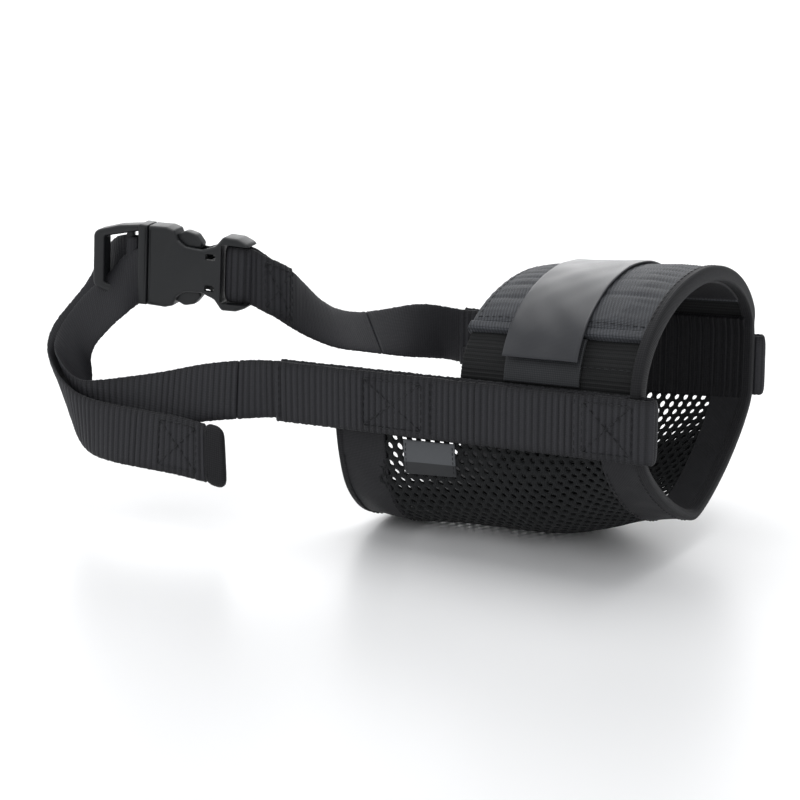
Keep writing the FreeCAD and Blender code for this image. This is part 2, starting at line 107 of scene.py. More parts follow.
def lower_raw(x, b):
    """Section below the webbing, b from 0 at the near wall to 4 at the far one."""
    base = web_mid(x) - WALL
    height = base - belly(x)
    t = np.pi * np.clip((b - 1.0) / 2.0, 0.0, 1.0)
    n = squareness(x)
    c = np.abs(np.cos(t))
    s = np.abs(np.sin(t))
    r = (c ** n + s ** n) ** (-1.0 / n)
    y = -HALF * r * np.sign(np.cos(t)) * c
    z = base - height * r * s
    z = np.where(b < 1.0, web_mid(x) - WALL * b, z)
    z = np.where(b > 3.0, web_mid(x) - WALL * (4.0 - b), z)
    return y, z


def between(table, gx, gf):
    """A table's value at the grid position (gx, gf), straight between its entries."""
    gx = np.clip(gx, 0, table.shape[0] - SHORT_OF_END)
    gf = np.clip(gf, 0, table.shape[1] - SHORT_OF_END)
    i, j = gx.astype(int), gf.astype(int)
    u, v = gx - i, gf - j
    if table.ndim > 2:
        u, v = u[..., None], v[..., None]
    return (table[i, j] * (1 - u) * (1 - v) + table[i + 1, j] * u * (1 - v)
            + table[i, j + 1] * (1 - u) * v + table[i + 1, j + 1] * u * v)


def measured(raw, x, low, high):
    """Positions along a raw section, their (y, z) and the length up to each."""
    p = np.linspace(low, high, SAMPLES)
    y, z = raw(np.full_like(p, x), p)
    return p, y, z, np.concatenate([[0.0], np.cumsum(np.hypot(np.diff(y), np.diff(z)))])


class Skin:
    """A section swept along X, re-measured so that f from 0 to 1 runs evenly along the cloth."""

    def __init__(self, raw, low, high, soften=1.6, knots=64, fine=600, rake=0.0):
        self.rake = rake
        self.xs = np.linspace(X_REAR - 1.0, X_RIM + 1.0, knots)
        self.fs = np.linspace(0.0, 1.0, fine)
        self.table = np.zeros((knots, fine, 2))
        self.length = 0.0
        for i, x in enumerate(self.xs):
            _, y, z, reach = measured(raw, x, low, high)
            self.length += reach[-1] / knots
            even = self.fs * reach[-1]
            self.table[i, :, 0] = np.interp(even, reach, y)
            self.table[i, :, 1] = np.interp(even, reach, z)
        span = int(soften * fine / self.length) + 1
        weights = np.exp(-0.5 * (np.arange(-3 * span, 3 * span + 1) / span) ** 2)
        weights /= weights.sum()
        for i in range(knots):
            for k in range(2):
                line = self.table[i, :, k]
                head = 2 * line[0] - line[3 * span:0:-1]
                tail = 2 * line[-1] - line[-2:-3 * span - 2:-1]
                padded_line = np.concatenate([head, line, tail])
                self.table[i, :, k] = np.convolve(padded_line, weights, "valid")

    def at(self, x, f):
        gx = (x - self.xs[0]) / (self.xs[1] - self.xs[0])
        yz = between(self.table, gx, np.clip(f, 0.0, 1.0) * (len(self.fs) - SHORT_OF_END))
        back = self.rake * (1.0 - ease(x, X_REAR, -18.0)) * (20.0 - yz[..., 1])
        return np.concatenate([(x + back)[..., None], yz], -1)

    def normal(self, x, f):
        """Unit normal away from the animal."""
        dx = self.at(x + 0.6, f) - self.at(x - 0.6, f)
        step = 1.0 / len(self.fs)
        df = self.at(x, np.clip(f + step, 0, 1)) - self.at(x, np.clip(f - step, 0, 1))
        n = np.cross(dx, df)
        n /= np.linalg.norm(n, axis=-1, keepdims=True)
        middle = np.array([0.0, 0.0, 48.0])
        flat = self.at(x, f) - middle
        flat[..., 0] = 0.0
        sign = np.where((n * flat).sum(-1, keepdims=True) < 0, -1.0, 1.0)
        return n * sign


def fraction(raw, position, x=20.0):
    """The f of a position from 0 to 4 on a raw section."""
    p, _, _, reach = measured(raw, x, 0.0, 4.0)
    return float(np.interp(position, p, reach / reach[-1]))


UPPER = Skin(upper_raw, 0.0, 4.0)
LOWER = Skin(lower_raw, 0.0, 4.0, soften=2.2, rake=0.10)


def up_f(a):
    return fraction(upper_raw, a)


def low_f(b):
    return fraction(lower_raw, b)


HEM_RISE = 24.0
CROWN_RISE = crown(20.0) - CROWN_DROP - web_mid(20.0)
HEM_A = 1.0 + 2.0 / math.pi * math.asin((HEM_RISE - WALL) / (CROWN_RISE - WALL))


# ---------------- mesh helpers
def noise(x, y, z, seed=0.0):
    """A smooth, repeatable wobble between about -1 and 1."""
    return (np.sin(x * 0.31 + y * 0.17 + seed) * np.cos(z * 0.23 - y * 0.29 + seed * 2.1)
            + 0.5 * np.sin(x * 0.71 - z * 0.53 + seed * 1.7) * np.cos(y * 0.61 + seed)) / 1.5


def make(name, verts, faces, weave):
    """A mesh object from points in mm; weave is (along, across, painted rib light) for the material."""
    mesh = bpy.data.meshes.new(name)
    verts = np.array(verts, float)
    verts[:, 2] = np.maximum(verts[:, 2], FLOOR_GAP)
    verts *= MM
    mesh.from_pydata(verts.tolist(), [], [tuple(int(i) for i in f) for f in faces])
    mesh.validate()
    mesh.update()
    attribute = mesh.attributes.new("weave", "FLOAT_VECTOR", "POINT")
    attribute.data.foreach_set("vector", np.asarray(weave, np.float32).ravel())
    mesh.polygons.foreach_set("use_smooth", [True] * len(mesh.polygons))
    obj = bpy.data.objects.new(name, mesh)
    bpy.context.scene.collection.objects.link(obj)
    return obj


def joined(parts):
    """Several (verts, faces, weave) as one."""
    verts, faces, weave, start = [], [], [], 0
    for v, f, w in parts:
        verts.append(v)
        weave.append(w)
        faces += [[i + start for i in face] for face in f]
        start += len(v)
    return np.concatenate(verts), faces, np.concatenate(weave)


def finish_piece(obj, body, material, replaces=()):
    """body is the body the piece rides, or the four values of a blend, which are not used: such a piece
    stays where it is made.
    """
    obj.data.materials.append(material)
    if isinstance(body, str):
        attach(obj, body)
    else:
        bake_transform(obj)
    if replaces:
        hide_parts(*replaces)
    return obj


def piece(name, shape, body, material, replaces=()):
    """A piece from its name and its (verts, faces, weave)."""
    return finish_piece(make(name, *shape), body, material, replaces)


def rounded_steps(low, high, count, edge):
    """Positions from low to high with extra ones close to both ends."""
    near = np.array([0.0, 0.06, 0.18, 0.38, 0.66, 1.0]) * edge
    middle = np.linspace(low + edge, high - edge, count)
    return np.concatenate([low + near[:-1], middle, high - near[:-1][::-1]])


def roundness(value, low, high, edge):
    """0 at the ends, 1 away from them, as a quarter circle."""
    d = np.minimum(value - low, high - value) / edge
    return np.sqrt(np.clip(1.0 - (1.0 - np.clip(d, 0.0, 1.0)) ** 2, 0.0, 1.0))


def grid_faces(rows, cols, start=0, wrap=False):
    r = np.arange(rows - 1)[:, None]
    c = np.arange(cols if wrap else cols - 1)[None, :]
    a = r * cols + c
    b = r * cols + (c + 1) % cols
    q = np.stack([a, b, b + cols, a + cols], -1).reshape(-1, 4)
    return q + start


def shell_grid(skin, x0, x1, f0, f1, inner, outer, nx, nf, edge=0.7, relief=None, under=None,
               edge_f=None, lean=0.0):
    """A closed piece of cloth on a skin: outer and inner are offsets in mm, relief(x, s) adds to
    the outer face and under(x, s) to the inner one, with s the length along the section. lean turns
    it on the nose, in mm of x from one side to the other."""
    length = skin.length
    xs = rounded_steps(x0, x1, nx, edge)
    ef = (edge if edge_f is None else edge_f) / length
    fs = rounded_steps(f0, f1, nf, ef)
    x, f = np.meshgrid(xs, fs, indexing="ij")
    leant = x + lean * (0.5 - f)
    point, normal = skin.at(leant, f), skin.normal(leant, f)
    r = np.minimum(roundness(x, x0, x1, edge), roundness(f, f0, f1, ef))
    middle, half = (inner + outer) / 2.0, (outer - inner) / 2.0
    top = middle + half * r
    bottom = middle - half * r
    s = f * length
    if relief is not None:
        top = top + relief(x, s) * r
    if under is not None:
        bottom = bottom - under(x, s) * r
    v = np.concatenate([(point + normal * top[..., None]).reshape(-1, 3),
                        (point + normal * bottom[..., None]).reshape(-1, 3)])
    rows, cols = x.shape
    n = rows * cols
    faces = [grid_faces(rows, cols), grid_faces(rows, cols, n)[:, ::-1]]
    ring = np.concatenate([np.arange(cols), np.arange(1, rows) * cols + cols - 1,
                           (rows - 1) * cols + np.arange(cols - 2, -1, -1),
                           np.arange(rows - 2, 0, -1) * cols])
    after = np.roll(ring, -1)
    faces.append(np.stack([after, ring, ring + n, after + n], -1))
    weave = np.stack([x, s, np.zeros_like(x)], -1).reshape(-1, 3)
    return v, np.concatenate(faces), np.concatenate([weave, weave])


def closed_normals(obj):
    """Faces of a closed mesh turned outwards."""
    bm = bmesh.new()
    bm.from_mesh(obj.data)
    bmesh.ops.recalc_face_normals(bm, faces=bm.faces)
    bm.to_mesh(obj.data)
    bm.free()
    return obj


# ---------------- materials
def material(name):
    m = bpy.data.materials.new(name)
    m.use_nodes = True
    tree = m.node_tree
    return m, tree, tree.nodes["Principled BSDF"]


def put(tree, kind, **values):
    n = tree.nodes.new(kind)
    for key, value in values.items():
        if hasattr(n, key):
            setattr(n, key, value)
        else:
            n.inputs[key].default_value = value
    return n


def link(tree, a, b):
    tree.links.new(a, b)


def math_node(tree, operation, *values):
    node = tree.nodes.new("ShaderNodeMath")
    node.operation = operation
    for socket, value in zip(node.inputs, values):
        if isinstance(value, (int, float)):
            socket.default_value = value
        else:
            link(tree, value, socket)
    return node.outputs[0]


def wave(tree, coordinate, pitch):
    """A sine between 0 and 1 of a coordinate in mm."""
    turn = math_node(tree, "MULTIPLY", coordinate, 2.0 * math.pi / pitch)
    return math_node(tree, "MULTIPLY_ADD", math_node(tree, "SINE", turn), 0.5, 0.5)


def woven_place(tree):
    """The weave attribute's along, across and painted rib light values."""
    weave = put(tree, "ShaderNodeAttribute", attribute_name="weave")
    parts = tree.nodes.new("ShaderNodeSeparateXYZ")
    link(tree, weave.outputs["Vector"], parts.inputs[0])
    return parts.outputs


def grain(tree, scale, detail, roughness):
    """Noise fixed to the piece."""
    place = put(tree, "ShaderNodeTexCoord")
    node = put(tree, "ShaderNodeTexNoise", Scale=scale, Detail=detail, Roughness=roughness)
    link(tree, place.outputs["Object"], node.inputs["Vector"])
    return node.outputs["Fac"]


def two_tone(tree, dark, light, share):
    mix = put(tree, "ShaderNodeMix", data_type="RGBA")
    mix.inputs["A"].default_value = (*dark, 1)
    mix.inputs["B"].default_value = (*light, 1)
    link(tree, share, mix.inputs["Factor"])
    return mix.outputs["Result"]


def bump(tree, shader, height, strength, distance):
    node = put(tree, "ShaderNodeBump", Strength=strength, Distance=distance)
    link(tree, height, node.inputs["Height"])
    link(tree, node.outputs["Normal"], shader.inputs["Normal"])


def cloth_material(name, dark, light, roughness, sheen, warp, weft, twill=0.0, relief=0.25, fuzz=0.5,
                   spec=0.25, ribs=0.0):
    """Woven cloth: threads of the two pitches in mm, with painted highlight on its ribs and painted shade in
    their grooves where ribs is above 0.
    """
    m, tree, shader = material(name)
    along, across, painted_rib_light = woven_place(tree)
    if twill:
        along = math_node(tree, "ADD", along, math_node(tree, "MULTIPLY", across, twill))
    warps = math_node(tree, "ADD", wave(tree, along, warp), 0.5)
    wefts = math_node(tree, "ADD", wave(tree, across, weft), 0.5)
    threads = math_node(tree, "MULTIPLY", warps, wefts)
    fine = grain(tree, 2600.0, 3.0, 0.7)
    coarse = grain(tree, 60.0, 3.0, 0.6)
    height = math_node(tree, "ADD", threads, math_node(tree, "MULTIPLY", fine, fuzz))
    share = math_node(tree, "MULTIPLY", height, 0.45)
    share = math_node(tree, "MULTIPLY", share, math_node(tree, "ADD", coarse, 0.35))
    # painted rib light: the weave's rib value lightens rib tops and darkens grooves, standing in for light
    # and shade
    if ribs:
        share = math_node(tree, "MULTIPLY", share, 1.0 - 0.8 * ribs)
        share = math_node(tree, "ADD", share, math_node(tree, "MULTIPLY", painted_rib_light, ribs))
    link(tree, two_tone(tree, dark, light, share), shader.inputs["Base Color"])
    rough = math_node(tree, "MULTIPLY_ADD", coarse, 0.2, roughness - 0.1)
    link(tree, rough, shader.inputs["Roughness"])
    bump(tree, shader, height, relief, 0.0003)
    shader.inputs["Sheen Weight"].default_value = sheen
    shader.inputs["Sheen Roughness"].default_value = 0.45
    shader.inputs["Specular IOR Level"].default_value = spec
    return m


def plastic_material(name, dark, light):
    """Moulded plastic with a fine grain."""
    m, tree, shader = material(name)
    patches = grain(tree, 90.0, 4.0, 0.65)
    link(tree, two_tone(tree, dark, light, patches), shader.inputs["Base Color"])
    link(tree, math_node(tree, "MULTIPLY_ADD", patches, 0.14, 0.36), shader.inputs["Roughness"])
    bump(tree, shader, grain(tree, 5200.0, 2.0, 0.6), 0.35, 0.00006)
    shader.inputs["Specular IOR Level"].default_value = 0.45
    return m


# ribs=0.8 paints highlight on the webbing's rib tops and shade in its grooves
BLACK_WEB = cloth_material(
    "ribbed_webbing", (0.002, 0.002, 0.003), (0.034, 0.034, 0.039), 0.55, 0.02, 0.9, 0.55,
    relief=0.35, ribs=0.8)
BAND_CLOTH = cloth_material(
    "band_nylon", (0.010, 0.011, 0.013), (0.090, 0.095, 0.108), 0.55, 0.05, 1.05, 0.45,
    twill=0.25, relief=0.45, spec=0.3)
PLAIN = cloth_material(
    "facing_nylon", (0.005, 0.005, 0.006), (0.034, 0.034, 0.038), 0.6, 0.04, 0.5, 0.5)
TAPE = cloth_material(
    "binding_tape", (0.004, 0.004, 0.005), (0.024, 0.024, 0.027), 0.7, 0.05, 0.7, 0.7)
KNIT = cloth_material(
    "spacer_mesh", (0.003, 0.004, 0.004), (0.017, 0.018, 0.020), 0.7, 0.03, 0.6, 0.5, relief=0.4)
ELASTIC = cloth_material(
    "gusset_elastic", (0.002, 0.002, 0.002), (0.018, 0.019, 0.020), 0.66, 0.03, 0.6, 0.6)
SATIN = cloth_material(
    "satin_strap", (0.018, 0.019, 0.023), (0.036, 0.038, 0.044), 0.34, 0.02, 0.35, 0.35,
    relief=0.08, fuzz=0.25, spec=0.5)
HOOKS = cloth_material(
    "hook_tape", (0.003, 0.003, 0.003), (0.016, 0.016, 0.018), 0.85, 0.1, 0.8, 0.8, relief=0.5)
LOOPS = cloth_material(
    "loop_tape", (0.010, 0.011, 0.012), (0.045, 0.047, 0.052), 0.5, 0.08, 0.6, 0.6, relief=0.2)
THREAD = cloth_material(
    "thread", (0.004, 0.004, 0.005), (0.030, 0.031, 0.034), 0.5, 0.03, 0.3, 0.3, relief=0.1)
PLASTIC = plastic_material("buckle_plastic", (0.008, 0.009, 0.010), (0.014, 0.015, 0.017))


# ---------------- straps
class Path:
    """A strap's middle line through stations of (point, direction of width), in mm."""

    BETWEEN = 40

    def __init__(self, stations):
        p = np.array([s[0] for s in stations], float)
        w = np.array([s[1] for s in stations], float)
        w /= np.linalg.norm(w, axis=1, keepdims=True)
        both = np.concatenate([p, w], 1)
        h = np.linalg.norm(np.diff(p, axis=0), axis=1)
        slope = np.diff(both, axis=0) / h[:, None]
        m = np.zeros_like(both)
        m[1:-1] = (slope[1:] * h[:-1, None] + slope[:-1] * h[1:, None]) / (h[1:] + h[:-1])[:, None]
        m[0], m[-1] = slope[0], slope[-1]
        rows = []
        for i in range(len(h)):
            t = np.linspace(0.0, 1.0, self.BETWEEN, endpoint=False)[:, None]
            h00, h10 = 2 * t ** 3 - 3 * t ** 2 + 1, t ** 3 - 2 * t ** 2 + t
            h01, h11 = -2 * t ** 3 + 3 * t ** 2, t ** 3 - t ** 2
            rows.append(h00 * both[i] + h10 * h[i] * m[i] + h01 * both[i + 1] + h11 * h[i] * m[i + 1])
        rows.append(both[-1:])
        self.rows = np.concatenate(rows)
        gap = np.linalg.norm(np.diff(self.rows[:, :3], axis=0), axis=1)
        self.reach = np.concatenate([[0.0], np.cumsum(gap)])
        self.length = self.reach[-1]
        self.knots = self.reach[::self.BETWEEN]

    def frames(self, s):
        """Point, width direction and normal at lengths s."""
        value = np.stack([np.interp(s, self.reach, self.rows[:, k]) for k in range(6)], -1)
        ahead = np.stack([np.interp(s + 0.5, self.reach, self.rows[:, k])
                          - np.interp(s - 0.5, self.reach, self.rows[:, k]) for k in range(3)], -1)
        ahead /= np.linalg.norm(ahead, axis=-1, keepdims=True)
        wide = value[..., 3:] / np.linalg.norm(value[..., 3:], axis=-1, keepdims=True)
        normal = np.cross(ahead, wide)
        normal /= np.linalg.norm(normal, axis=-1, keepdims=True)
        return value[..., :3], wide, normal


def ridge(s, pitch):
    """Rounded ribs with narrow grooves, 0 to 1."""
    return np.abs(np.sin(np.pi * s / pitch)) ** 0.7


FLAT_RIBS = 0.12
# FLAT_SHADE: the even painted rib light given to the webbing's nearly smooth side
FLAT_SHADE = 0.55


def strap_mesh(path, s0, s1, width=STRAP, thick=THICK, ribbed=-1, depth=0.42, across=17, step=0.37,
               rib=RIB, wobble=0.12, fray=0.10, rounding=0.4):
    """Webbing along a path from s0 to s1, as a closed mesh: ribs on the ribbed side of it (0 for
    both), nearly smooth on the other. rounding softens the corners of its ends."""
    count = max(int((s1 - s0) / step), 6)
    line = np.linspace(s0, s1, count)
    u = np.sin(np.linspace(-1.0, 1.0, across) * math.pi / 2.0)
    s = np.repeat(line[:, None], across, 1)
    p, wide, normal = path.frames(s)
    body = 1.0 - np.abs(u) ** 8
    ribs = ridge(s, rib) * body
    strength = 1.0 + 0.35 * noise(p[..., 0] * 2.0, p[..., 1] * 2.0, p[..., 2] * 2.0, 4.0)
    end = np.clip(np.minimum(line - s0, s1 - line) / 0.5, 0.25, 1.0)[:, None]
    half = (thick / 2.0 - 0.12) * np.sqrt(np.clip(1.0 - np.abs(u) ** 7, 0.0, 1.0)) * end
    high = half + depth * ribs * strength * end * (1.0 if ribbed >= 0 else FLAT_RIBS)
    low = half + depth * ribs * strength * end * (1.0 if ribbed <= 0 else FLAT_RIBS)
    corner = 1.0 - rounding / (width / 2.0) * (1.0 - roundness(line, s0, s1 + 1e-6, max(rounding, 0.01)))
    ragged = fray * np.sin(line * 2.9) * np.sin(line * 1.13 + 0.7) + 0.08 * ridge(line, rib)
    waist = (width / 2.0 * corner + ragged - 0.1)[:, None] * u[None, :]
    sway = wobble * noise(p[..., 0], p[..., 1], p[..., 2]) * (1.0 + 0.6 * u[None, :])
    base = p + wide * waist[..., None]
    top = base + normal * (sway + high)[..., None]
    bottom = base + normal * (sway - low)[..., None]
    ring = np.concatenate([top, bottom[:, -2:0:-1]], 1)
    n = ring.shape[1]
    faces = grid_faces(count, n, wrap=True).tolist()
    faces.append(list(range(n - 1, -1, -1)))
    faces.append([(count - 1) * n + i for i in range(n)])
    w = np.concatenate([waist, waist[:, -2:0:-1]], 1)
    # painted rib light for the colour: lighter on rib tops, darker in grooves, even on the smooth side
    flat = np.full_like(ribs, FLAT_SHADE)
    above = ribs if ribbed >= 0 else flat
    below = ribs if ribbed <= 0 else flat
    rib_light_share = np.concatenate([above, below[:, -2:0:-1]], 1)
    along = np.concatenate([s, s[:, -2:0:-1]], 1)
    return ring.reshape(-1, 3), faces, np.stack([along, w, rib_light_share], -1).reshape(-1, 3)


def capsules(segments, radius):
    """Short rounded threads between pairs of points, as closed meshes."""
    verts, faces = [], []
    sides = 6
    turn = np.arange(sides) * 2.0 * np.pi / sides
    rings = ((0.0, 0.35, -0.30), (0.12, 0.85, -0.05), (0.5, 1.0, 0.10), (0.88, 0.85, -0.05),
             (1.0, 0.35, -0.30))
    for a, b, up in segments:
        a, b, up = np.asarray(a, float), np.asarray(b, float), np.asarray(up, float)
        ahead = b - a
        size = np.linalg.norm(ahead)
        if size < 0.2:
            continue
        ahead /= size
        side = np.cross(up, ahead)
        side /= max(np.linalg.norm(side), 1e-9)
        top = np.cross(ahead, side)
        start = len(verts)
        for t, r, rise in rings:
            middle = a + ahead * size * t + top * radius * rise
            for k in turn:
                verts.append(middle + (side * math.cos(k) + top * math.sin(k)) * radius * r)
        for k in range(len(rings) - 1):
            for j in range(sides):
                q = start + k * sides
                faces.append([q + j, q + (j + 1) % sides, q + sides + (j + 1) % sides, q + sides + j])
        faces.append([start + j for j in range(sides - 1, -1, -1)])
        faces.append([start + (len(rings) - 1) * sides + j for j in range(sides)])
    verts = np.array(verts)
    return verts, faces, verts.copy()


def dashes(line, pitch=2.6, fill=0.72):
    """Stitches along a dense line of (point, up)."""
    points = np.array([p for p, up in line], float)
    ups = np.array([up for p, up in line], float)
    reach = np.concatenate([[0.0], np.cumsum(np.linalg.norm(np.diff(points, axis=0), axis=1))])
    count = max(int(round(reach[-1] / pitch)), 1)
    out = []
    for i in range(count):
        ends = [(i + 0.5 - fill / 2) / count * reach[-1], (i + 0.5 + fill / 2) / count * reach[-1]]
        a, b = [np.array([np.interp(e, reach, points[:, k]) for k in range(3)]) for e in ends]
        up = np.array([np.interp(sum(ends) / 2, reach, ups[:, k]) for k in range(3)])
        out.append((a, b, up))
    return out


def skin_line(skin, start, end, out, count=60):
    """A line on a skin from (x, f) to (x, f), out mm above it."""
    x = np.linspace(start[0], end[0], count)
    f = np.linspace(start[1], end[1], count)
    normal = skin.normal(x, f)
    points = skin.at(x, f) + normal * out
    return list(zip(points, normal))


def path_line(path, start, end, out, count=24):
    """A line on a strap's face from (s, across) to (s, across)."""
    s = np.linspace(start[0], end[0], count)
    w = np.linspace(start[1], end[1], count)
    p, wide, normal = path.frames(s)
    sign = 1.0 if out > 0 else -1.0
    return list(zip(p + wide * w[:, None] + normal * out, normal * sign))


def box_x(line, s0, s1, half):
    """A sewn box with its diagonals; line(start, end) gives the dense line between two corners."""
    corners = [(s0, -half), (s1, -half), (s1, half), (s0, half)]
    runs = []
    for i in range(4):
        runs += dashes(line(corners[i], corners[(i + 1) % 4]))
    runs += dashes(line(corners[0], corners[2]))
    runs += dashes(line(corners[1], corners[3]))
    return runs


# ---------------- chin panel
F_LOW = (low_f(0.2), low_f(3.8))


def air_mesh(x0, x1, f0, f1, rings, shift, pitch=3.3, row=2.75, radii=(0.70, 1.08), slant=0.34,
             closed=0.0):
    """A perforated face: a hexagon round each oval hole. rings are (share from hole to hexagon,
    offset)."""
    length = LOWER.length
    s0, s1 = f0 * length, f1 * length
    corners = np.array([(0, 2 / 3), (0.25, 0.5), (0.5, 1 / 3), (0.5, 0), (0.5, -1 / 3), (0.25, -0.5),
                        (0, -2 / 3), (-0.25, -0.5), (-0.5, -1 / 3), (-0.5, 0), (-0.5, 1 / 3), (-0.25, 0.5)])
    hexagon = corners * (pitch, row)
    angle = np.arctan2(hexagon[:, 1] * radii[0], hexagon[:, 0] * radii[1])
    hole = np.stack([radii[0] * np.cos(angle), radii[1] * np.sin(angle)], -1)
    hole[:, 0] += slant * hole[:, 1]
    index, points, faces = {}, [], []

    def vertex(x, s, out, key):
        if key not in index:
            index[key] = len(points)
            points.append((x, s, out))
        return index[key]

    rows = int((s1 - s0) / row)
    for j in range(rows):
        cs = s0 + (j + 0.5) * row
        for i in range(int((x1 - x0) / pitch)):
            cx = x0 + (i + 0.5 + 0.5 * (j % 2)) * pitch
            if cx + pitch / 2 > x1 + 0.01:
                continue
            grown = 1.0 + 0.07 * math.sin(cx * 1.7 + cs * 0.9) + 0.05 * math.sin(cs * 2.3 - cx)
            grown *= 1.0 - closed * math.exp(-((cs / length - 0.5) / 0.13) ** 2)
            ring_ids = []
            for k, (share, out) in enumerate(rings):
                ids = []
                for c in range(12):
                    px = hole[c, 0] * grown * (1 - share) + hexagon[c, 0] * share + cx
                    ps = hole[c, 1] * grown * (1 - share) + hexagon[c, 1] * share + cs
                    edge = share > 0.999
                    key = (k, round(px * 20), round(ps * 20)) if edge else (k, i, j, c)
                    ids.append(vertex(px, ps, out, key))
                ring_ids.append(ids)
            for a, b in zip(ring_ids[:-1], ring_ids[1:]):
                for c in range(12):
                    faces.append([a[c], a[(c + 1) % 12], b[(c + 1) % 12], b[c]])
    points = np.array(points)
    x, f, out = points[:, 0], points[:, 1] / length, points[:, 2]
    x = x + shift * -np.cos(np.pi * f)
    soft = 0.35 * noise(x * 0.6, f * 90.0, x * 0.2)
    normal = LOWER.normal(x, f)
    verts = LOWER.at(x, f) + normal * (out + soft)[:, None]
    return verts, faces, np.stack([points[:, 0], points[:, 1], out], -1)


MESH_X = (X_FACE_REAR - 2.0, X_FACE_FRONT + 2.0)
OUTER_RINGS = [(1.0, -0.05), (0.16, -0.12), (0.0, -0.42), (0.16, -0.74), (1.0, -0.80)]
INNER_RINGS = [(1.0, -1.65), (0.1, -1.70), (0.0, -1.9), (0.1, -2.1), (1.0, -2.15)]
outer_mesh = air_mesh(*MESH_X, *F_LOW, OUTER_RINGS, 0.0)
inner_mesh = air_mesh(*MESH_X, *F_LOW, INNER_RINGS, 0.85, radii=(0.88, 1.15), closed=0.45)
chin_mesh = closed_normals(make("chin_mesh", *outer_mesh))
finish_piece(chin_mesh, "muzzle", KNIT, ["mesh_panel"])
chin_mesh_back = closed_normals(make("chin_mesh_back", *inner_mesh))
finish_piece(chin_mesh_back, "muzzle", KNIT)


def soft_relief(depth, seed):
    return lambda x, s: depth * noise(x, s * 0.8, x * 0.3, seed)


piece("rear_facing_cloth", shell_grid(
    LOWER, X_REAR + 2.0, X_FACE_REAR + 1.5, *F_LOW, -MESH - 0.2, 0.15, 16, 150, 0.5,
    soft_relief(0.28, 1.0)), "muzzle", PLAIN, ["rear_facing"])
piece("front_facing_cloth", shell_grid(
    LOWER, X_FACE_FRONT - 1.5, X_RIM - 2.0, *F_LOW, -MESH - 0.2, 0.2, 16, 150, 0.5,
    soft_relief(0.3, 4.0)), "muzzle", PLAIN, ["front_facing"])
piece("rear_edge_tape", shell_grid(
    LOWER, X_REAR, X_REAR + BIND, low_f(0.3), low_f(3.7), -MESH - 0.8, 0.45, 6, 170, 1.2,
    soft_relief(0.12, 2.0)), "muzzle", TAPE, ["rear_binding"])


# ---------------- front rim
def rim_raw(x, p):
    """The whole rim: over the crown from the near wall to the far one, then back under the chin."""
    uy, uz = upper_raw(x, np.clip(p, 0.0, 4.0))
    ly, lz = lower_raw(x, np.clip(8.0 - p, 0.0, 4.0))
    return np.where(p < 4.0, uy, ly), np.where(p < 4.0, uz, lz)


RIM = Skin(rim_raw, 0.0, 8.0, soften=2.2)
CROWN_LENGTH = UPPER.length / RIM.length


def rim_height(f):
    """1 on the padded band, 0 elsewhere on the rim."""
    edge = CROWN_LENGTH * 0.09
    middle = CROWN_LENGTH / 2.0
    return ease(edge + middle - np.abs(f - middle) - edge * 1.4, -0.008, 0.012)


def rim_relief(x, s):
    return 2.55 * rim_height(s / RIM.length) + 0.08 * noise(x, s * 0.5, s * 0.2, 3.0)


def rim_under(x, s):
    return -0.9 * rim_height(s / RIM.length)


piece("front_rim_tape", shell_grid(
    RIM, X_RIM - BIND - 0.4, X_RIM, 0.001, 0.999, -MESH - 0.5, 0.3, 10, 330, 0.75, rim_relief,
    rim_under), "muzzle", TAPE, ["chin_binding", "band_binding"])

# ---------------- nose band
BAND_X = (X_BAND, X_RIM - BIND + 0.6)
BAND_F = (up_f(HEM_A + 0.03), up_f(3.97 - HEM_A))
SWELL_X = np.linspace(*BAND_X, 26)
SWELL_F = np.linspace(*BAND_F, 46)
SWELL_CAP = 1.3


def puffed_band():
    """Cloth simulation of the padded band, sewn down at its edges: the swell in mm on the grid of
    SWELL_X and SWELL_F. It runs at ten times the size, where the solver is steady."""
    grow = 10.0
    x, f = np.meshgrid(SWELL_X, SWELL_F, indexing="ij")
    point, normal = UPPER.at(x, f), UPPER.normal(x, f)
    rest = (point + normal * 1.6).reshape(-1, 3)
    mesh = bpy.data.meshes.new("swell")
    mesh.from_pydata((rest * MM * grow).tolist(), [], grid_faces(*x.shape).tolist())
    obj = bpy.data.objects.new("swell", mesh)
    bpy.context.scene.collection.objects.link(obj)
    pin = obj.vertex_groups.new(name="seam")
    border = np.zeros(x.shape, bool)
    border[0, :] = border[-1, :] = border[:, 0] = border[:, -1] = True
    pin.add([int(i) for i in np.nonzero(border.ravel())[0]], 1.0, "REPLACE")
    held = (x > TAB0 - 0.5) & (x < TAB1 + 0.5)
    pin.add([int(i) for i in np.nonzero((held & ~border).ravel())[0]], 0.25, "REPLACE")
    cloth = obj.modifiers.new("cloth", "CLOTH")
    settings = cloth.settings
    settings.quality = 6
    settings.mass = 0.2
    settings.tension_stiffness = settings.compression_stiffness = 12.0
    settings.shear_stiffness = 8.0
    settings.bending_stiffness = 0.6
    settings.vertex_group_mass = "seam"
    settings.use_pressure = True
    settings.uniform_pressure_force = 5.0
    settings.effector_weights.gravity = 0.0
    cloth.collision_settings.use_collision = False
    for number in range(1, 21):
        bpy.context.scene.frame_set(number)
    done = obj.evaluated_get(bpy.context.evaluated_depsgraph_get()).to_mesh()
    moved = np.array([v.co for v in done.vertices]) / MM / grow
    bpy.context.scene.frame_set(1)
    bpy.data.objects.remove(obj)
    swell = ((moved - rest) * normal.reshape(-1, 3)).sum(-1).reshape(x.shape)
    if swell.mean() < 0.0:
        swell = -swell
    return np.clip(swell, 0.0, SWELL_CAP)


SWELL = puffed_band()


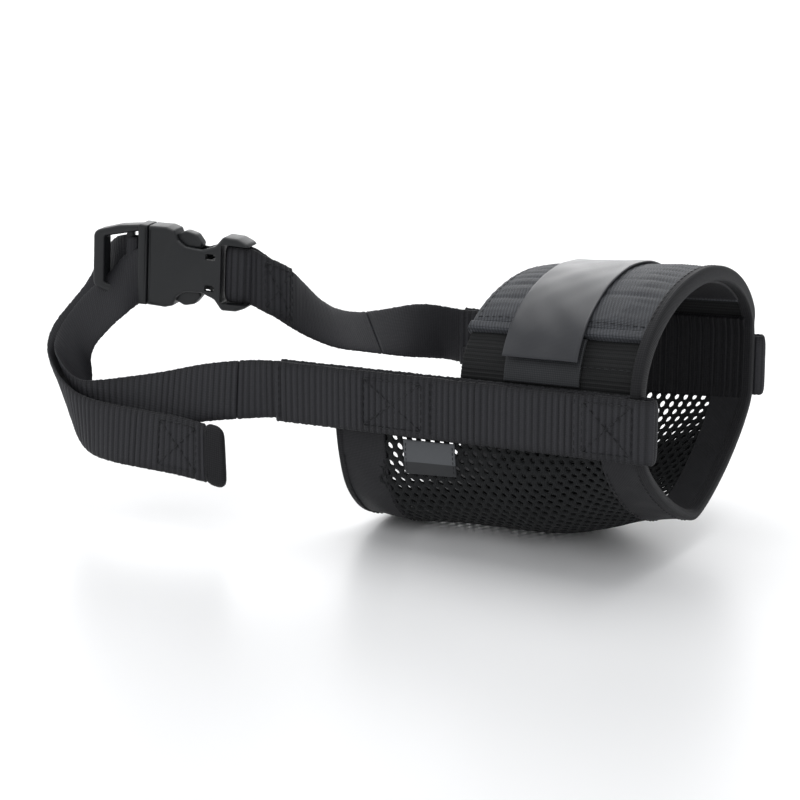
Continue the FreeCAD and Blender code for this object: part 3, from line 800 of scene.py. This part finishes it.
def swell_at(x, f):
    gx = (x - SWELL_X[0]) / (SWELL_X[1] - SWELL_X[0])
    return between(SWELL, gx, (f - SWELL_F[0]) / (SWELL_F[1] - SWELL_F[0]))


def band_relief(x, s):
    f = s / UPPER.length
    fine = 0.11 * np.sin(2.0 * np.pi * (x + 0.25 * s) / 1.05)
    return swell_at(x, f) + fine + 0.12 * noise(x, s * 0.7, s * 0.1, 6.0)


band = piece("nose_band", shell_grid(
    UPPER, *BAND_X, *BAND_F, -1.9, 1.7, 150, 180, 1.0, band_relief),
    "muzzle", BAND_CLOTH, ["nose_band_shell", "nose_band_foam"])
piece("band_lining", shell_grid(
    UPPER, BAND_X[0] + 0.4, BAND_X[1], *BAND_F, -2.5, -1.7, 90, 60, 0.4, None,
    lambda x, s: 0.16 * ridge(x, 1.6)), "muzzle", PLAIN, ["nose_band_lining"])


def hem_relief(x, s):
    return 0.10 * np.sin(2.0 * np.pi * x / 1.05) + 0.1 * noise(x, s, x, 5.0)


for side_name, a0, a1 in (("near", HEM_A - 0.012, HEM_A + 0.05), ("far", 3.95 - HEM_A, 4.012 - HEM_A)):
    piece(side_name + "_hem", shell_grid(
        UPPER, X_BAND - 0.3, BAND_X[1], up_f(a0), up_f(a1), -2.3, 2.35, 90, 9, 0.8, hem_relief,
        edge_f=0.8), "muzzle", BAND_CLOTH, [side_name + "_band_hem"])

# ---------------- elastic gussets
def gusset_ribs(x, s):
    return 0.55 * ridge(s, 1.4) + 0.12 * noise(x, s, x * 0.3, 8.0)


for side_name, a0, a1 in (("near", 0.02, HEM_A + 0.02), ("far", 3.98 - HEM_A, 3.98)):
    piece(side_name + "_elastic", shell_grid(
        UPPER, X_BAND + 0.8, BAND_X[1], up_f(a0), up_f(a1), -1.2, -0.3, 150, 64, 0.5, gusset_ribs,
        lambda x, s: 0.2 * ridge(s, 1.4)), "muzzle", ELASTIC, [side_name + "_gusset"])


def wall_raw(side):
    """The inside wall behind the webbing: from above it (negative p) to below it."""
    def raw(x, p):
        uy, uz = upper_raw(x, np.clip(-p, 0.0, 4.0))
        ly, lz = lower_raw(x, np.clip(p, 0.0, 4.0))
        return np.where(p < 0.0, uy, ly) * -side, np.where(p < 0.0, uz, lz)
    return raw


def lining_ribs(x, s):
    return 0.45 * ridge(x, RIB)


for side_name, side in (("near", -1), ("far", 1)):
    wall = Skin(wall_raw(side), -1.2, 1.05)
    parts = [shell_grid(wall, x0, x1, f0, 1.0, -2.6, -1.45, nx, nf, 0.4, None, lining_ribs)
             for x0, x1, f0, nx, nf in ((X_BAND + 1.5, X_RIM - 2.4, 0.0, 220, 26),
                                        (X_REAR + 2.6, X_BAND + 1.3, 0.62, 140, 12))]
    piece(side_name + "_wall_lining", joined(parts), "muzzle", BLACK_WEB)

# ---------------- closing strap
STRAP_X = (TAB0 - 0.8, TAB1 - 0.8)
LEAN = 7.0
TAB_HINGE = ("muzzle", "closing_tab", (0.015, 0.001, 0.088), (0.015, -0.008, 0.0875))
piece("closing_strap", shell_grid(
    UPPER, *STRAP_X, up_f(HEM_A - 0.19), up_f(4.04 - HEM_A), 3.15, 4.1, 40, 220, 0.45,
    soft_relief(0.18, 2.5), lean=LEAN),
    TAB_HINGE, SATIN, ["closing_strap_fixed", "closing_strap_tab"])
piece("hook_tape", shell_grid(
    UPPER, STRAP_X[0] + 1.2, STRAP_X[1] - 1.2, up_f(HEM_A - 0.175), up_f(HEM_A - 0.02), 1.6, 3.1,
    60, 16, 0.3, None, lambda x, s: 0.25 * ridge(x, 0.9), lean=LEAN),
    "closing_tab", HOOKS, ["hook_patch"])
piece("loop_tape", shell_grid(
    UPPER, *STRAP_X, up_f(1.035), up_f(HEM_A - 0.02), 0.1, 1.25, 40, 18, 0.5,
    soft_relief(0.14, 7.0), lean=LEAN), "muzzle", LOOPS, ["loop_patch"])

# ---------------- label
LABEL_X = (-30.6, -12.6)
LABEL_F = (low_f(1.035), low_f(1.215))


def label_material():
    """Blank woven label: grey upper field, darker lower field, fine weave."""
    m, tree, shader = material("blank_label")
    along, across, _ = woven_place(tree)
    top, bottom = LABEL_F[0] * LOWER.length, LABEL_F[1] * LOWER.length
    split = top + 0.62 * (bottom - top)
    edge = math_node(tree, "MULTIPLY_ADD", across, 4.0, -4.0 * split)
    edge.node.use_clamp = True
    threads = math_node(tree, "MULTIPLY", wave(tree, along, 0.35), wave(tree, across, 0.35))
    field = two_tone(tree, (0.105, 0.112, 0.122), (0.016, 0.018, 0.021), edge)
    shade = put(tree, "ShaderNodeMix", data_type="RGBA", blend_type="MULTIPLY")
    shade.inputs["Factor"].default_value = 0.5
    grey = tree.nodes.new("ShaderNodeCombineColor")
    for socket in grey.inputs:
        link(tree, math_node(tree, "ADD", threads, 0.35), socket)
    link(tree, field, shade.inputs["A"])
    link(tree, grey.outputs["Color"], shade.inputs["B"])
    link(tree, shade.outputs["Result"], shader.inputs["Base Color"])
    shader.inputs["Roughness"].default_value = 0.5
    bump(tree, shader, threads, 0.3, 0.0002)
    shader.inputs["Sheen Weight"].default_value = 0.1
    return m


piece("side_label_cloth", shell_grid(
    LOWER, *LABEL_X, *LABEL_F, 0.15, 0.75, 40, 24, 0.35, soft_relief(0.08, 3.0)),
    "muzzle", label_material(), ["side_label"])


# ---------------- side webbing
MID_Y = HALF + 2.7
LAYER_GAP = 1.65


def tilt_blend(side):
    """The four blend values, in metres, for the webbing's stretch next to the neck loop."""
    y = side * MID_Y * MM
    return "muzzle", "neck_loop", (-0.057, y, 0.0466), (-0.083, y, 0.0458)


NEAR_TILT, FAR_TILT = tilt_blend(-1), tilt_blend(1)


def on_wall(side, x, y=MID_Y):
    """An upright strap station at the webbing's height."""
    return (x, side * y, web_mid(x)), (0, 0, 1)


def webbing_path(side, front, rear):
    """Outer layer forward, round the folded front end and back along the inner layer."""
    out_y, in_y = MID_Y + LAYER_GAP, MID_Y - LAYER_GAP
    xs = [rear, (rear + front) / 2.0, front - 8.0, front - 2.6]
    stations = [on_wall(side, x, out_y) for x in xs]
    for turn in (30, 90, 150):
        c, s = math.cos(math.radians(turn)), math.sin(math.radians(turn))
        stations.append(on_wall(side, front - 2.35 + LAYER_GAP * s, MID_Y + LAYER_GAP * c))
    stations += [on_wall(side, x, in_y) for x in xs[::-1]]
    return Path(stations)


def core(side, x0, x1):
    """What fills the space between the webbing's two layers in front of the neck strap."""
    path = Path([on_wall(side, x) for x in (x0, (x0 + x1) / 2.0, x1)])
    return strap_mesh(path, 0.0, path.length, 18.6, 2.1, 0, 0.1)


WEB_REAR = {"near": -76.0, "far": -60.0}
WEB_PATHS = {"near": webbing_path(-1, 56.0, WEB_REAR["near"]), "far": webbing_path(1, 53.0, WEB_REAR["far"])}
for side_name, side, front, tilt in (("near", -1, 53.5, NEAR_TILT), ("far", 1, 50.5, FAR_TILT)):
    path = WEB_PATHS[side_name]
    parts = [strap_mesh(path, 0.0, path.length, WEB, 1.2, -side, 0.5, fray=0.16, wobble=0.25),
             core(side, -46.5, front - 1.5)]
    piece(side_name + "_webbing", joined(parts), tilt, BLACK_WEB,
          [side_name + "_side_webbing"])

# ---------------- neck strap
YAW, PITCH = math.radians(12.6), math.radians(3.0)
BUCKLE_TURN = Matrix.Rotation(YAW, 4, "Z") @ Matrix.Rotation(PITCH, 4, "Y")
BUCKLE = Matrix.Translation((-158.9, -32.2, 78.9)) @ BUCKLE_TURN
BUCKLE_UP = tuple(BUCKLE.to_3x3() @ Vector((0, 0, 1)))


def buckle_point(along, out, across=0.0):
    """A strap station in the buckle's frame: out is towards the inside of the loop."""
    return tuple(BUCKLE @ Vector((along, -out, across))), BUCKLE_UP


NEAR = [on_wall(-1, -47), on_wall(-1, -62), on_wall(-1, -79), ((-91, -48.6, 44.4), (-0.07, 0.2, 0.98)),
        ((-105, -50.0, 41.7), (-0.1, 0.28, 0.95)), ((-119, -52.0, 38.0), (-0.1, 0.3, 0.93)),
        ((-131, -53.8, 35.2), (-0.1, 0.22, 0.95)), ((-141.2, -55.2, 33.2), (-0.08, 0.05, 1.0)),
        ((-148.2, -54.0, 32.4), (-0.08, -0.12, 0.99)), ((-154.2, -51.2, 34.0), (-0.1, -0.28, 0.95)),
        ((-158.9, -47.6, 37.6), (-0.25, -0.42, 0.87)), ((-161.9, -43.8, 42.0), (-0.56, -0.3, 0.76)),
        ((-163.0, -40.6, 47.0), (-0.74, 0.02, 0.67)), ((-162.6, -38.6, 51.6), (-0.7, 0.28, 0.66)),
        ((-160.6, -37.2, 55.9), (-0.6, 0.37, 0.71)), ((-155.0, -35.6, 62.2), (-0.5, 0.42, 0.76)),
        ((-148.1, -34.4, 68.6), (-0.42, 0.4, 0.82)), (buckle_point(14.2, 4.0, -6.0)[0], (-0.2, 0.2, 0.95)),
        buckle_point(17.6, 3.2, -4.0)]
WRAP = [buckle_point(12.0, 2.15, -0.5), buckle_point(13.8, 2.1, -0.5), buckle_point(15.3, 1.5, -0.5),
        buckle_point(15.85, 0.0, -0.5), buckle_point(15.2, -1.4, -0.5), buckle_point(13.2, -2.05, -0.5),
        buckle_point(11.2, -2.05, -0.5)]
TAIL = [buckle_point(11.0, -2.05, -1.0), (buckle_point(7.6, -2.6, -2.2)[0], (-0.25, 0.25, 0.93)),
        (buckle_point(2.4, -4.3, -7.4)[0], (-0.45, 0.4, 0.8)), ((-162.2, -32.3, 60.0), (-0.58, 0.38, 0.72)),
        ((-165.5, -34.0, 54.6), (-0.64, 0.28, 0.71)), ((-167.2, -36.6, 50.0), (-0.68, 0.12, 0.72)),
        ((-167.2, -40.2, 45.0), (-0.62, -0.12, 0.77)), ((-165.4, -44.8, 39.8), (-0.38, -0.34, 0.86)),
        ((-161.6, -49.2, 35.2), (-0.14, -0.34, 0.93)), ((-156.2, -53.2, 31.6), (-0.05, -0.26, 0.96)),
        ((-149.8, -56.9, 29.0), (-0.02, -0.12, 0.99)), ((-142.6, -59.8, 27.8), (-0.04, 0.05, 1.0)),
        ((-132, -61.6, 27.3), (-0.08, 0.2, 0.97)), ((-120, -61.6, 27.0), (-0.1, 0.28, 0.95)),
        ((-106, -60.4, 26.2), (-0.12, 0.25, 0.95)), ((-97, -59.4, 25.0), (-0.15, 0.22, 0.95)),
        ((-89.5, -58.6, 23.9), (-0.17, 0.2, 0.95))]
FAR = [buckle_point(54.6, -1.6), ((-97.5, -15.0, 70.6), (-0.1, 0.15, 0.98)),
       ((-96.0, -6.5, 65.4), (-0.15, 0.3, 0.93)), ((-94.6, 2.5, 59.4), (-0.35, 0.36, 0.84)),
       ((-92.0, 11.0, 54.0), (-0.55, 0.42, 0.7)), ((-88.6, 19.0, 50.8), (-0.65, 0.46, 0.6)),
       ((-84.0, 27.0, 49.0), (-0.62, 0.46, 0.64)), ((-78.6, 35.0, 48.3), (-0.45, 0.4, 0.8)),
       ((-73.0, 42.2, 47.9), (-0.2, 0.2, 0.95)), ((-67.0, MID_Y - 0.1, 46.9), (0, 0, 1)),
       on_wall(1, -60), on_wall(1, -48)]

# The stations where the near and far straps are parted, both behind the stretch given the tilt blend values.
NEAR_PARTING, FAR_PARTING = 3, 6


def whole_ribs(length):
    """A length near this one that ends between two ribs."""
    return round(length / RIB) * RIB


near_path, tail_path, wrap_path = Path(NEAR), Path(TAIL), Path(WRAP)
near_parting = whole_ribs(near_path.knots[NEAR_PARTING])
RELEASE = ("neck_loop", "plug", (-0.110, -0.051, 0.040), (-0.1505, -0.0465, 0.067))
TAIL_BEND = ("plug", "tail", (-0.153, -0.0585, 0.0284), (-0.134, -0.062, 0.0275))
TAIL_END = tail_path.length - 7.4
piece("neck_strap_front", strap_mesh(near_path, 0.0, near_parting), NEAR_TILT, BLACK_WEB)
piece("neck_strap_rear", strap_mesh(near_path, near_parting, near_path.length), RELEASE,
      BLACK_WEB, ["near_neck_strap", "rear_neck_strap"])
piece("strap_turn", strap_mesh(wrap_path, 0.0, wrap_path.length, 18.4, fray=0.0), "plug",
      BLACK_WEB, ["bar_wrap"])
piece("neck_strap_tail", strap_mesh(tail_path, 0.0, TAIL_END + 0.6, ribbed=1), TAIL_BEND,
      BLACK_WEB, ["rear_tail_layer", "tail_strap"])
piece("tail_hem", strap_mesh(tail_path, TAIL_END, tail_path.length, STRAP + 0.9, 3.6, 0, 0.05,
                             step=0.2, rib=0.9, wobble=0.05, fray=0.0, rounding=3.0),
      "tail", TAPE, ["tail_end_hem"])


def folded_far_path():
    """The far strap: its folded-back end, round the socket's end bar and on to the far webbing."""
    whole = Path(FAR)
    back = []
    for s in (17.5, 12.0, 6.5, 2.5):
        p, wide, normal = whole.frames(np.array([s]))
        back.append((tuple(p[0] + normal[0] * 1.55), tuple(wide[0])))
    turn = [buckle_point(*place) for place in ((53.6, 2.25), (50.4, 2.35), (48.6, 1.5), (48.15, 0.0),
                                               (48.6, -1.5), (50.4, -2.35))]
    return Path(back + turn + FAR), len(back) + len(turn)


far_path, far_first = folded_far_path()
far_parting = whole_ribs(far_path.knots[far_first + FAR_PARTING])
piece("far_strap_rear", strap_mesh(far_path, 0.0, far_parting), "neck_loop", BLACK_WEB,
      ["far_neck_strap", "far_strap_fold"])
piece("far_strap_front", strap_mesh(far_path, far_parting, far_path.length), FAR_TILT,
      BLACK_WEB)


# ---------------- buckle
def outline_solid(name, contours, thickness, bevel, place=None):
    """A bevelled plate from closed contours of (x, z) in mm in the buckle's frame; the first is
    the outside and the others are holes. Each point may carry a corner radius."""
    curve = bpy.data.curves.new(name, "CURVE")
    curve.dimensions = "2D"
    curve.fill_mode = "BOTH"
    curve.extrude = (thickness / 2.0 - bevel) * MM
    curve.bevel_depth = bevel * MM
    curve.bevel_resolution = 3
    curve.offset = -bevel * MM
    for contour in contours:
        points = rounded_corners(contour)
        spline = curve.splines.new("POLY")
        spline.points.add(len(points) - 1)
        for k, (x, z) in enumerate(points):
            spline.points[k].co = (x * MM, z * MM, 0.0, 1.0)
        spline.use_cyclic_u = True
    obj = bpy.data.objects.new(name, curve)
    bpy.context.scene.collection.objects.link(obj)
    bpy.context.view_layer.update()
    mesh = bpy.data.meshes.new_from_object(obj.evaluated_get(bpy.context.evaluated_depsgraph_get()))
    bpy.data.objects.remove(obj)
    solid = bpy.data.objects.new(name, mesh)
    bpy.context.scene.collection.objects.link(solid)
    stand = Matrix(((1, 0, 0, 0), (0, 0, -1, 0), (0, 1, 0, 0), (0, 0, 0, 1)))
    mesh.transform(stand)
    if place:
        mesh.transform(Matrix.Translation(Vector(place) * MM))
    weld(solid)
    return solid


def rounded_corners(contour, steps=6):
    """Points of a contour with each (x, z, radius) corner rounded."""
    out = []
    n = len(contour)
    for i in range(n):
        x, z, r = contour[i]
        here = Vector((x, z))
        before = Vector(contour[i - 1][:2]) - here
        after = Vector(contour[(i + 1) % n][:2]) - here
        if r <= 0.0:
            out.append((x, z))
            continue
        half = before.angle(after) / 2.0
        back = min(r / math.tan(half), before.length * 0.49, after.length * 0.49)
        p, q = here + before.normalized() * back, here + after.normalized() * back
        for k in range(steps + 1):
            t = k / steps
            point = p * (1 - t) ** 2 + here * 2 * t * (1 - t) + q * t ** 2
            out.append((point.x, point.y))
    return out


def weld(obj):
    bm = bmesh.new()
    bm.from_mesh(obj.data)
    bmesh.ops.remove_doubles(bm, verts=bm.verts, dist=0.00001)
    bmesh.ops.recalc_face_normals(bm, faces=bm.faces)
    if bm.calc_volume(signed=True) < 0.0:
        bmesh.ops.reverse_faces(bm, faces=bm.faces)
    bm.to_mesh(obj.data)
    bm.free()


def carve(base, cutters):
    """Cuts applied in turn; the cutters go."""
    for cutter in cutters:
        modifier = base.modifiers.new("carve", "BOOLEAN")
        modifier.operation = "DIFFERENCE"
        modifier.solver = "EXACT"
        modifier.object = cutter
        bpy.context.view_layer.update()
        mesh = bpy.data.meshes.new_from_object(base.evaluated_get(bpy.context.evaluated_depsgraph_get()))
        base.modifiers.remove(modifier)
        base.data = mesh
        bpy.data.objects.remove(cutter)
    return base


def gathered(base, shells):
    """Closed shells that overlap, as one piece."""
    bm = bmesh.new()
    for obj in [base] + shells:
        bm.from_mesh(obj.data)
    bm.to_mesh(base.data)
    bm.free()
    for obj in shells:
        bpy.data.objects.remove(obj)
    return base


def plastic_piece(obj, body, replaces=()):
    """Places a piece made in the buckle's frame, shades it and makes it ride."""
    obj.data.transform(Matrix.Translation(BUCKLE.to_translation() * MM) @ BUCKLE.to_3x3().to_4x4())
    obj.data.materials.clear()
    for polygon in obj.data.polygons:
        polygon.use_smooth = True
    obj.data.set_sharp_from_angle(angle=math.radians(38))
    return finish_piece(obj, body, PLASTIC, replaces)


def mirrored(points):
    """A contour's upper half, given from left to right, closed by its mirror image."""
    return points + [(x, -z, r) for x, z, r in points[::-1]]


BUCKLE_HALF = 13.8
MOUTH = 20.5
socket = outline_solid("buckle_socket_shell", [mirrored([
    (MOUTH, BUCKLE_HALF - 0.2, 0.5), (27.0, BUCKLE_HALF, 1.5), (29.8, BUCKLE_HALF - 0.8, 1.2),
    (31.2, 9.8, 1.6), (34.0, 7.9, 3.0), (40.0, 7.4, 3.0), (44.6, 9.1, 2.4), (47.4, 12.6, 1.8),
    (52.5, 12.4, 3.0), (56.7, 10.6, 2.2)])], 9.0, 1.25)
cutters = [outline_solid("bore", [mirrored([(MOUTH - 4.0, 11.4, 0.5), (43.0, 11.4, 2.0)])], 5.6, 0.2)]
for side in (1, -1):
    corners = [(41.4, 4.3), (44.9, 4.3), (44.9, 6.4), (41.4, 6.4)]
    cutters.append(outline_solid("core", [[(x, z * side, 0.2) for x, z in corners]], 12.0, 0.05))
cutters.append(outline_solid("slot", [mirrored([(46.9, 10.1, 0.8), (49.5, 10.1, 0.8)])], 12.0, 0.05))
for side in (1, -1):
    cutters.append(outline_solid("thin", [mirrored([(49.3, 10.1, 0.6), (60.0, 9.9, 0.6)])], 6.0, 0.4,
                                 (0, side * 4.9, 0)))
cutters.append(outline_solid("open", [mirrored([(53.5, 10.0, 0.8), (62.0, 9.9, 0.8)])], 14.0, 0.05))
plastic_piece(carve(socket, cutters), "neck_loop", ["buckle_socket"])

PLUG_END = MOUTH - 0.25
plug = outline_solid("buckle_plug_frame", [
    mirrored([(0.0, 9.6, 3.0), (9.0, 12.3, 6.0), (PLUG_END, BUCKLE_HALF, 0.3)]),
    mirrored([(4.0, 8.0, 1.0), (17.2, 11.2, 0.6)])], 6.4, 1.0)
bar = outline_solid("bar", [mirrored([(11.3, 10.5, 0.3), (13.9, 11.2, 0.3)])], 2.3, 0.5)
shoulder = outline_solid("shoulder", [mirrored([
    (16.7, BUCKLE_HALF, 0.9), (PLUG_END, BUCKLE_HALF - 0.1, 0.3)])], 8.7, 0.9)
tongue = outline_solid("tongue", [mirrored([(MOUTH - 2.0, 3.1, 0.3), (37.6, 2.6, 1.8)])], 3.2, 0.5)
plastic_piece(gathered(plug, [bar, shoulder, tongue]), "plug", ["buckle_plug"])

ARM = [(21.2, 5.6, 1.2), (21.2, 9.0, 1.2), (27.5, 8.9, 2.0), (30.2, 11.4, 1.6), (33.2, 12.9, 2.6),
       (37.0, 12.0, 2.4), (39.2, 9.2, 1.2), (39.0, 7.4, 1.0), (34.0, 6.4, 2.0), (27.0, 6.2, 2.0)]
for side_name, side in (("upper", 1), ("lower", -1)):
    arm = outline_solid(side_name + "_arm", [[(x, z * side, r) for x, z, r in ARM]], 4.6, 0.9)
    plastic_piece(arm, side_name + "_prong", [side_name + "_prong"])

# ---------------- stitching
def stitched(name, body, lines, radius=0.2, replaces=()):
    segments = []
    for line in lines:
        segments += line
    piece(name, capsules(segments, radius), body, THREAD, replaces)


STITCH_LIFT = 0.95
for side_name, side, tilt in (("near", -1, NEAR_TILT), ("far", 1, FAR_TILT)):
    path, rear = WEB_PATHS[side_name], WEB_REAR[side_name]
    facing = path.frames(np.array([5.0]))[2][0]
    out = STITCH_LIFT * float(np.sign(facing[1] * side))

    def on_webbing(start, end, path=path, rear=rear, out=out):
        return path_line(path, (start[0] - rear, start[1]), (end[0] - rear, end[1]), out)

    lines = [box_x(on_webbing, -43.0, -22.0, 7.6), box_x(on_webbing, 33.0, 49.0, 7.8)]
    for x in (rear + 1.6, -19.0, 30.5):
        lines.append(dashes(on_webbing((x, -8.8), (x, 8.8))))
    stitched(side_name + "_webbing_stitches", tilt, lines, replaces=[side_name + "_web_stitches"])

far_lines = [box_x(lambda a, b: path_line(far_path, a, b, -0.93), 2.2, 12.0, 7.6)]
far_lines.append(dashes(path_line(far_path, (0.9, -8.6), (0.9, 8.6), -0.93)))
stitched("fold_stitches", "neck_loop", far_lines, replaces=["far_fold_stitches"])
tail_lines = [box_x(lambda a, b: path_line(tail_path, a, b, 0.93), TAIL_END - 17.0, TAIL_END - 3.0, 7.4),
              dashes(path_line(tail_path, (TAIL_END + 1.2, -8.0), (TAIL_END + 1.2, 8.0), 1.62))]
stitched("tail_box_stitches", "tail", tail_lines, replaces=["tail_stitches"])


def band_line(start, end, count=200):
    """A line lying on the puffed band from (x, f) to (x, f)."""
    x = np.linspace(start[0], end[0], count)
    f = np.linspace(start[1], end[1], count)
    normal = UPPER.normal(x, f)
    points = UPPER.at(x, f) + normal * (1.74 + band_relief(x, f * UPPER.length))[:, None]
    return list(zip(points, normal))


hem_lines = []
chin_f = (low_f(1.15), low_f(2.85))
for x, out in ((X_REAR + BIND - 0.9, 0.5), (X_FACE_REAR + 0.5, 0.3), (X_FACE_FRONT - 0.5, 0.35),
               (X_RIM - BIND + 0.7, 0.4)):
    hem_lines.append(dashes(skin_line(LOWER, (x, chin_f[0]), (x, chin_f[1]), out, 200)))
band_f = (up_f(HEM_A + 0.1), up_f(3.9 - HEM_A))
rim_x = X_RIM - BIND + 0.7
hem_lines.append(dashes(skin_line(UPPER, (rim_x, band_f[0]), (rim_x, band_f[1]), 2.87, 200)))
hem_lines.append(dashes(band_line((X_BAND + 2.2, band_f[0]), (X_BAND + 2.2, band_f[1]))))
for a in (HEM_A + 0.075, 3.925 - HEM_A):
    hem_lines.append(dashes(band_line((X_BAND + 1.5, up_f(a)), (X_RIM - BIND - 0.5, up_f(a)))))
for a in (HEM_A - 0.20, 4.20 - HEM_A):
    hem_lines.append(dashes(skin_line(UPPER, (29.0, up_f(a)), (46.0, up_f(a)), 0.25, 40)))
stitched("seam_stitches", "muzzle", hem_lines, 0.17)
label_lines = []
for x in (LABEL_X[0] + 0.8, LABEL_X[1] - 0.8):
    edge_line = skin_line(LOWER, (x, LABEL_F[0] + 0.006), (x, LABEL_F[1] - 0.006), 0.78, 30)
    label_lines.append(dashes(edge_line, 1.6))
stitched("label_stitches", "muzzle", label_lines, 0.14)

# ---------------- room
floor_material, _, floor_shader = material("pale_floor")
floor_shader.inputs["Base Color"].default_value = (0.90, 0.90, 0.905, 1)
floor_shader.inputs["Roughness"].default_value = 0.32
floor_shader.inputs["Specular IOR Level"].default_value = 0.25
REACH = 8.0
floor_mesh = bpy.data.meshes.new("floor")
floor_corners = [(x * REACH, y * REACH, 0.0) for x, y in ((-1, -1), (1, -1), (1, 1), (-1, 1))]
floor_mesh.from_pydata(floor_corners, [], [(0, 1, 2, 3)])
floor = bpy.data.objects.new("floor", floor_mesh)
floor.data.materials.append(floor_material)
bpy.context.scene.collection.objects.link(floor)

world = bpy.data.worlds.new("studio")
bpy.context.scene.world = world
world.use_nodes = True
world.node_tree.nodes["Background"].inputs["Color"].default_value = (0.97, 0.985, 1.0, 1)
world.node_tree.nodes["Background"].inputs["Strength"].default_value = 0.60
bpy.context.scene.view_settings.view_transform = "Standard"


def soft_light(name, place, aim, width, power):
    data = bpy.data.lights.new(name, "AREA")
    data.shape = "SQUARE"
    data.size = width
    data.energy = power
    light = bpy.data.objects.new(name, data)
    light.location = place
    light.rotation_mode = "QUATERNION"
    light.rotation_quaternion = (Vector(aim) - Vector(place)).to_track_quat("-Z", "Y")
    bpy.context.scene.collection.objects.link(light)


soft_light("overhead", (-0.1, 0.25, 1.0), (-0.03, 0.0, 0.05), 0.9, 5.2)
soft_light("front", (0.7, -0.9, 0.75), (-0.03, 0.0, 0.05), 0.8, 1.4)
soft_light("rear", (-1.9, 3.3, 1.5), (-0.03, 0.0, 0.06), 2.6, 44.0)
soft_light("side", (-0.9, -0.5, 0.6), (-0.05, 0.0, 0.05), 0.7, 1.2)

camera_data = bpy.data.cameras.new("camera")
camera_data.lens = 103.5
camera_data.sensor_width = 36.0
camera_data.clip_start = 0.05
camera = bpy.data.objects.new("camera", camera_data)
AZIMUTH, ELEVATION = math.radians(30.0), math.radians(14.8)
right = Vector((math.cos(AZIMUTH), math.sin(AZIMUTH), 0.0))
back = Vector((math.sin(AZIMUTH) * math.cos(ELEVATION), -math.cos(AZIMUTH) * math.cos(ELEVATION),
               math.sin(ELEVATION)))
up = back.cross(right)
spot = Vector((0.3160, -0.6480, 0.2319))
camera.matrix_world = Matrix(((right.x, up.x, back.x, spot.x), (right.y, up.y, back.y, spot.y),
                              (right.z, up.z, back.z, spot.z), (0, 0, 0, 1)))
bpy.context.scene.collection.objects.link(camera)
bpy.context.scene.camera = camera
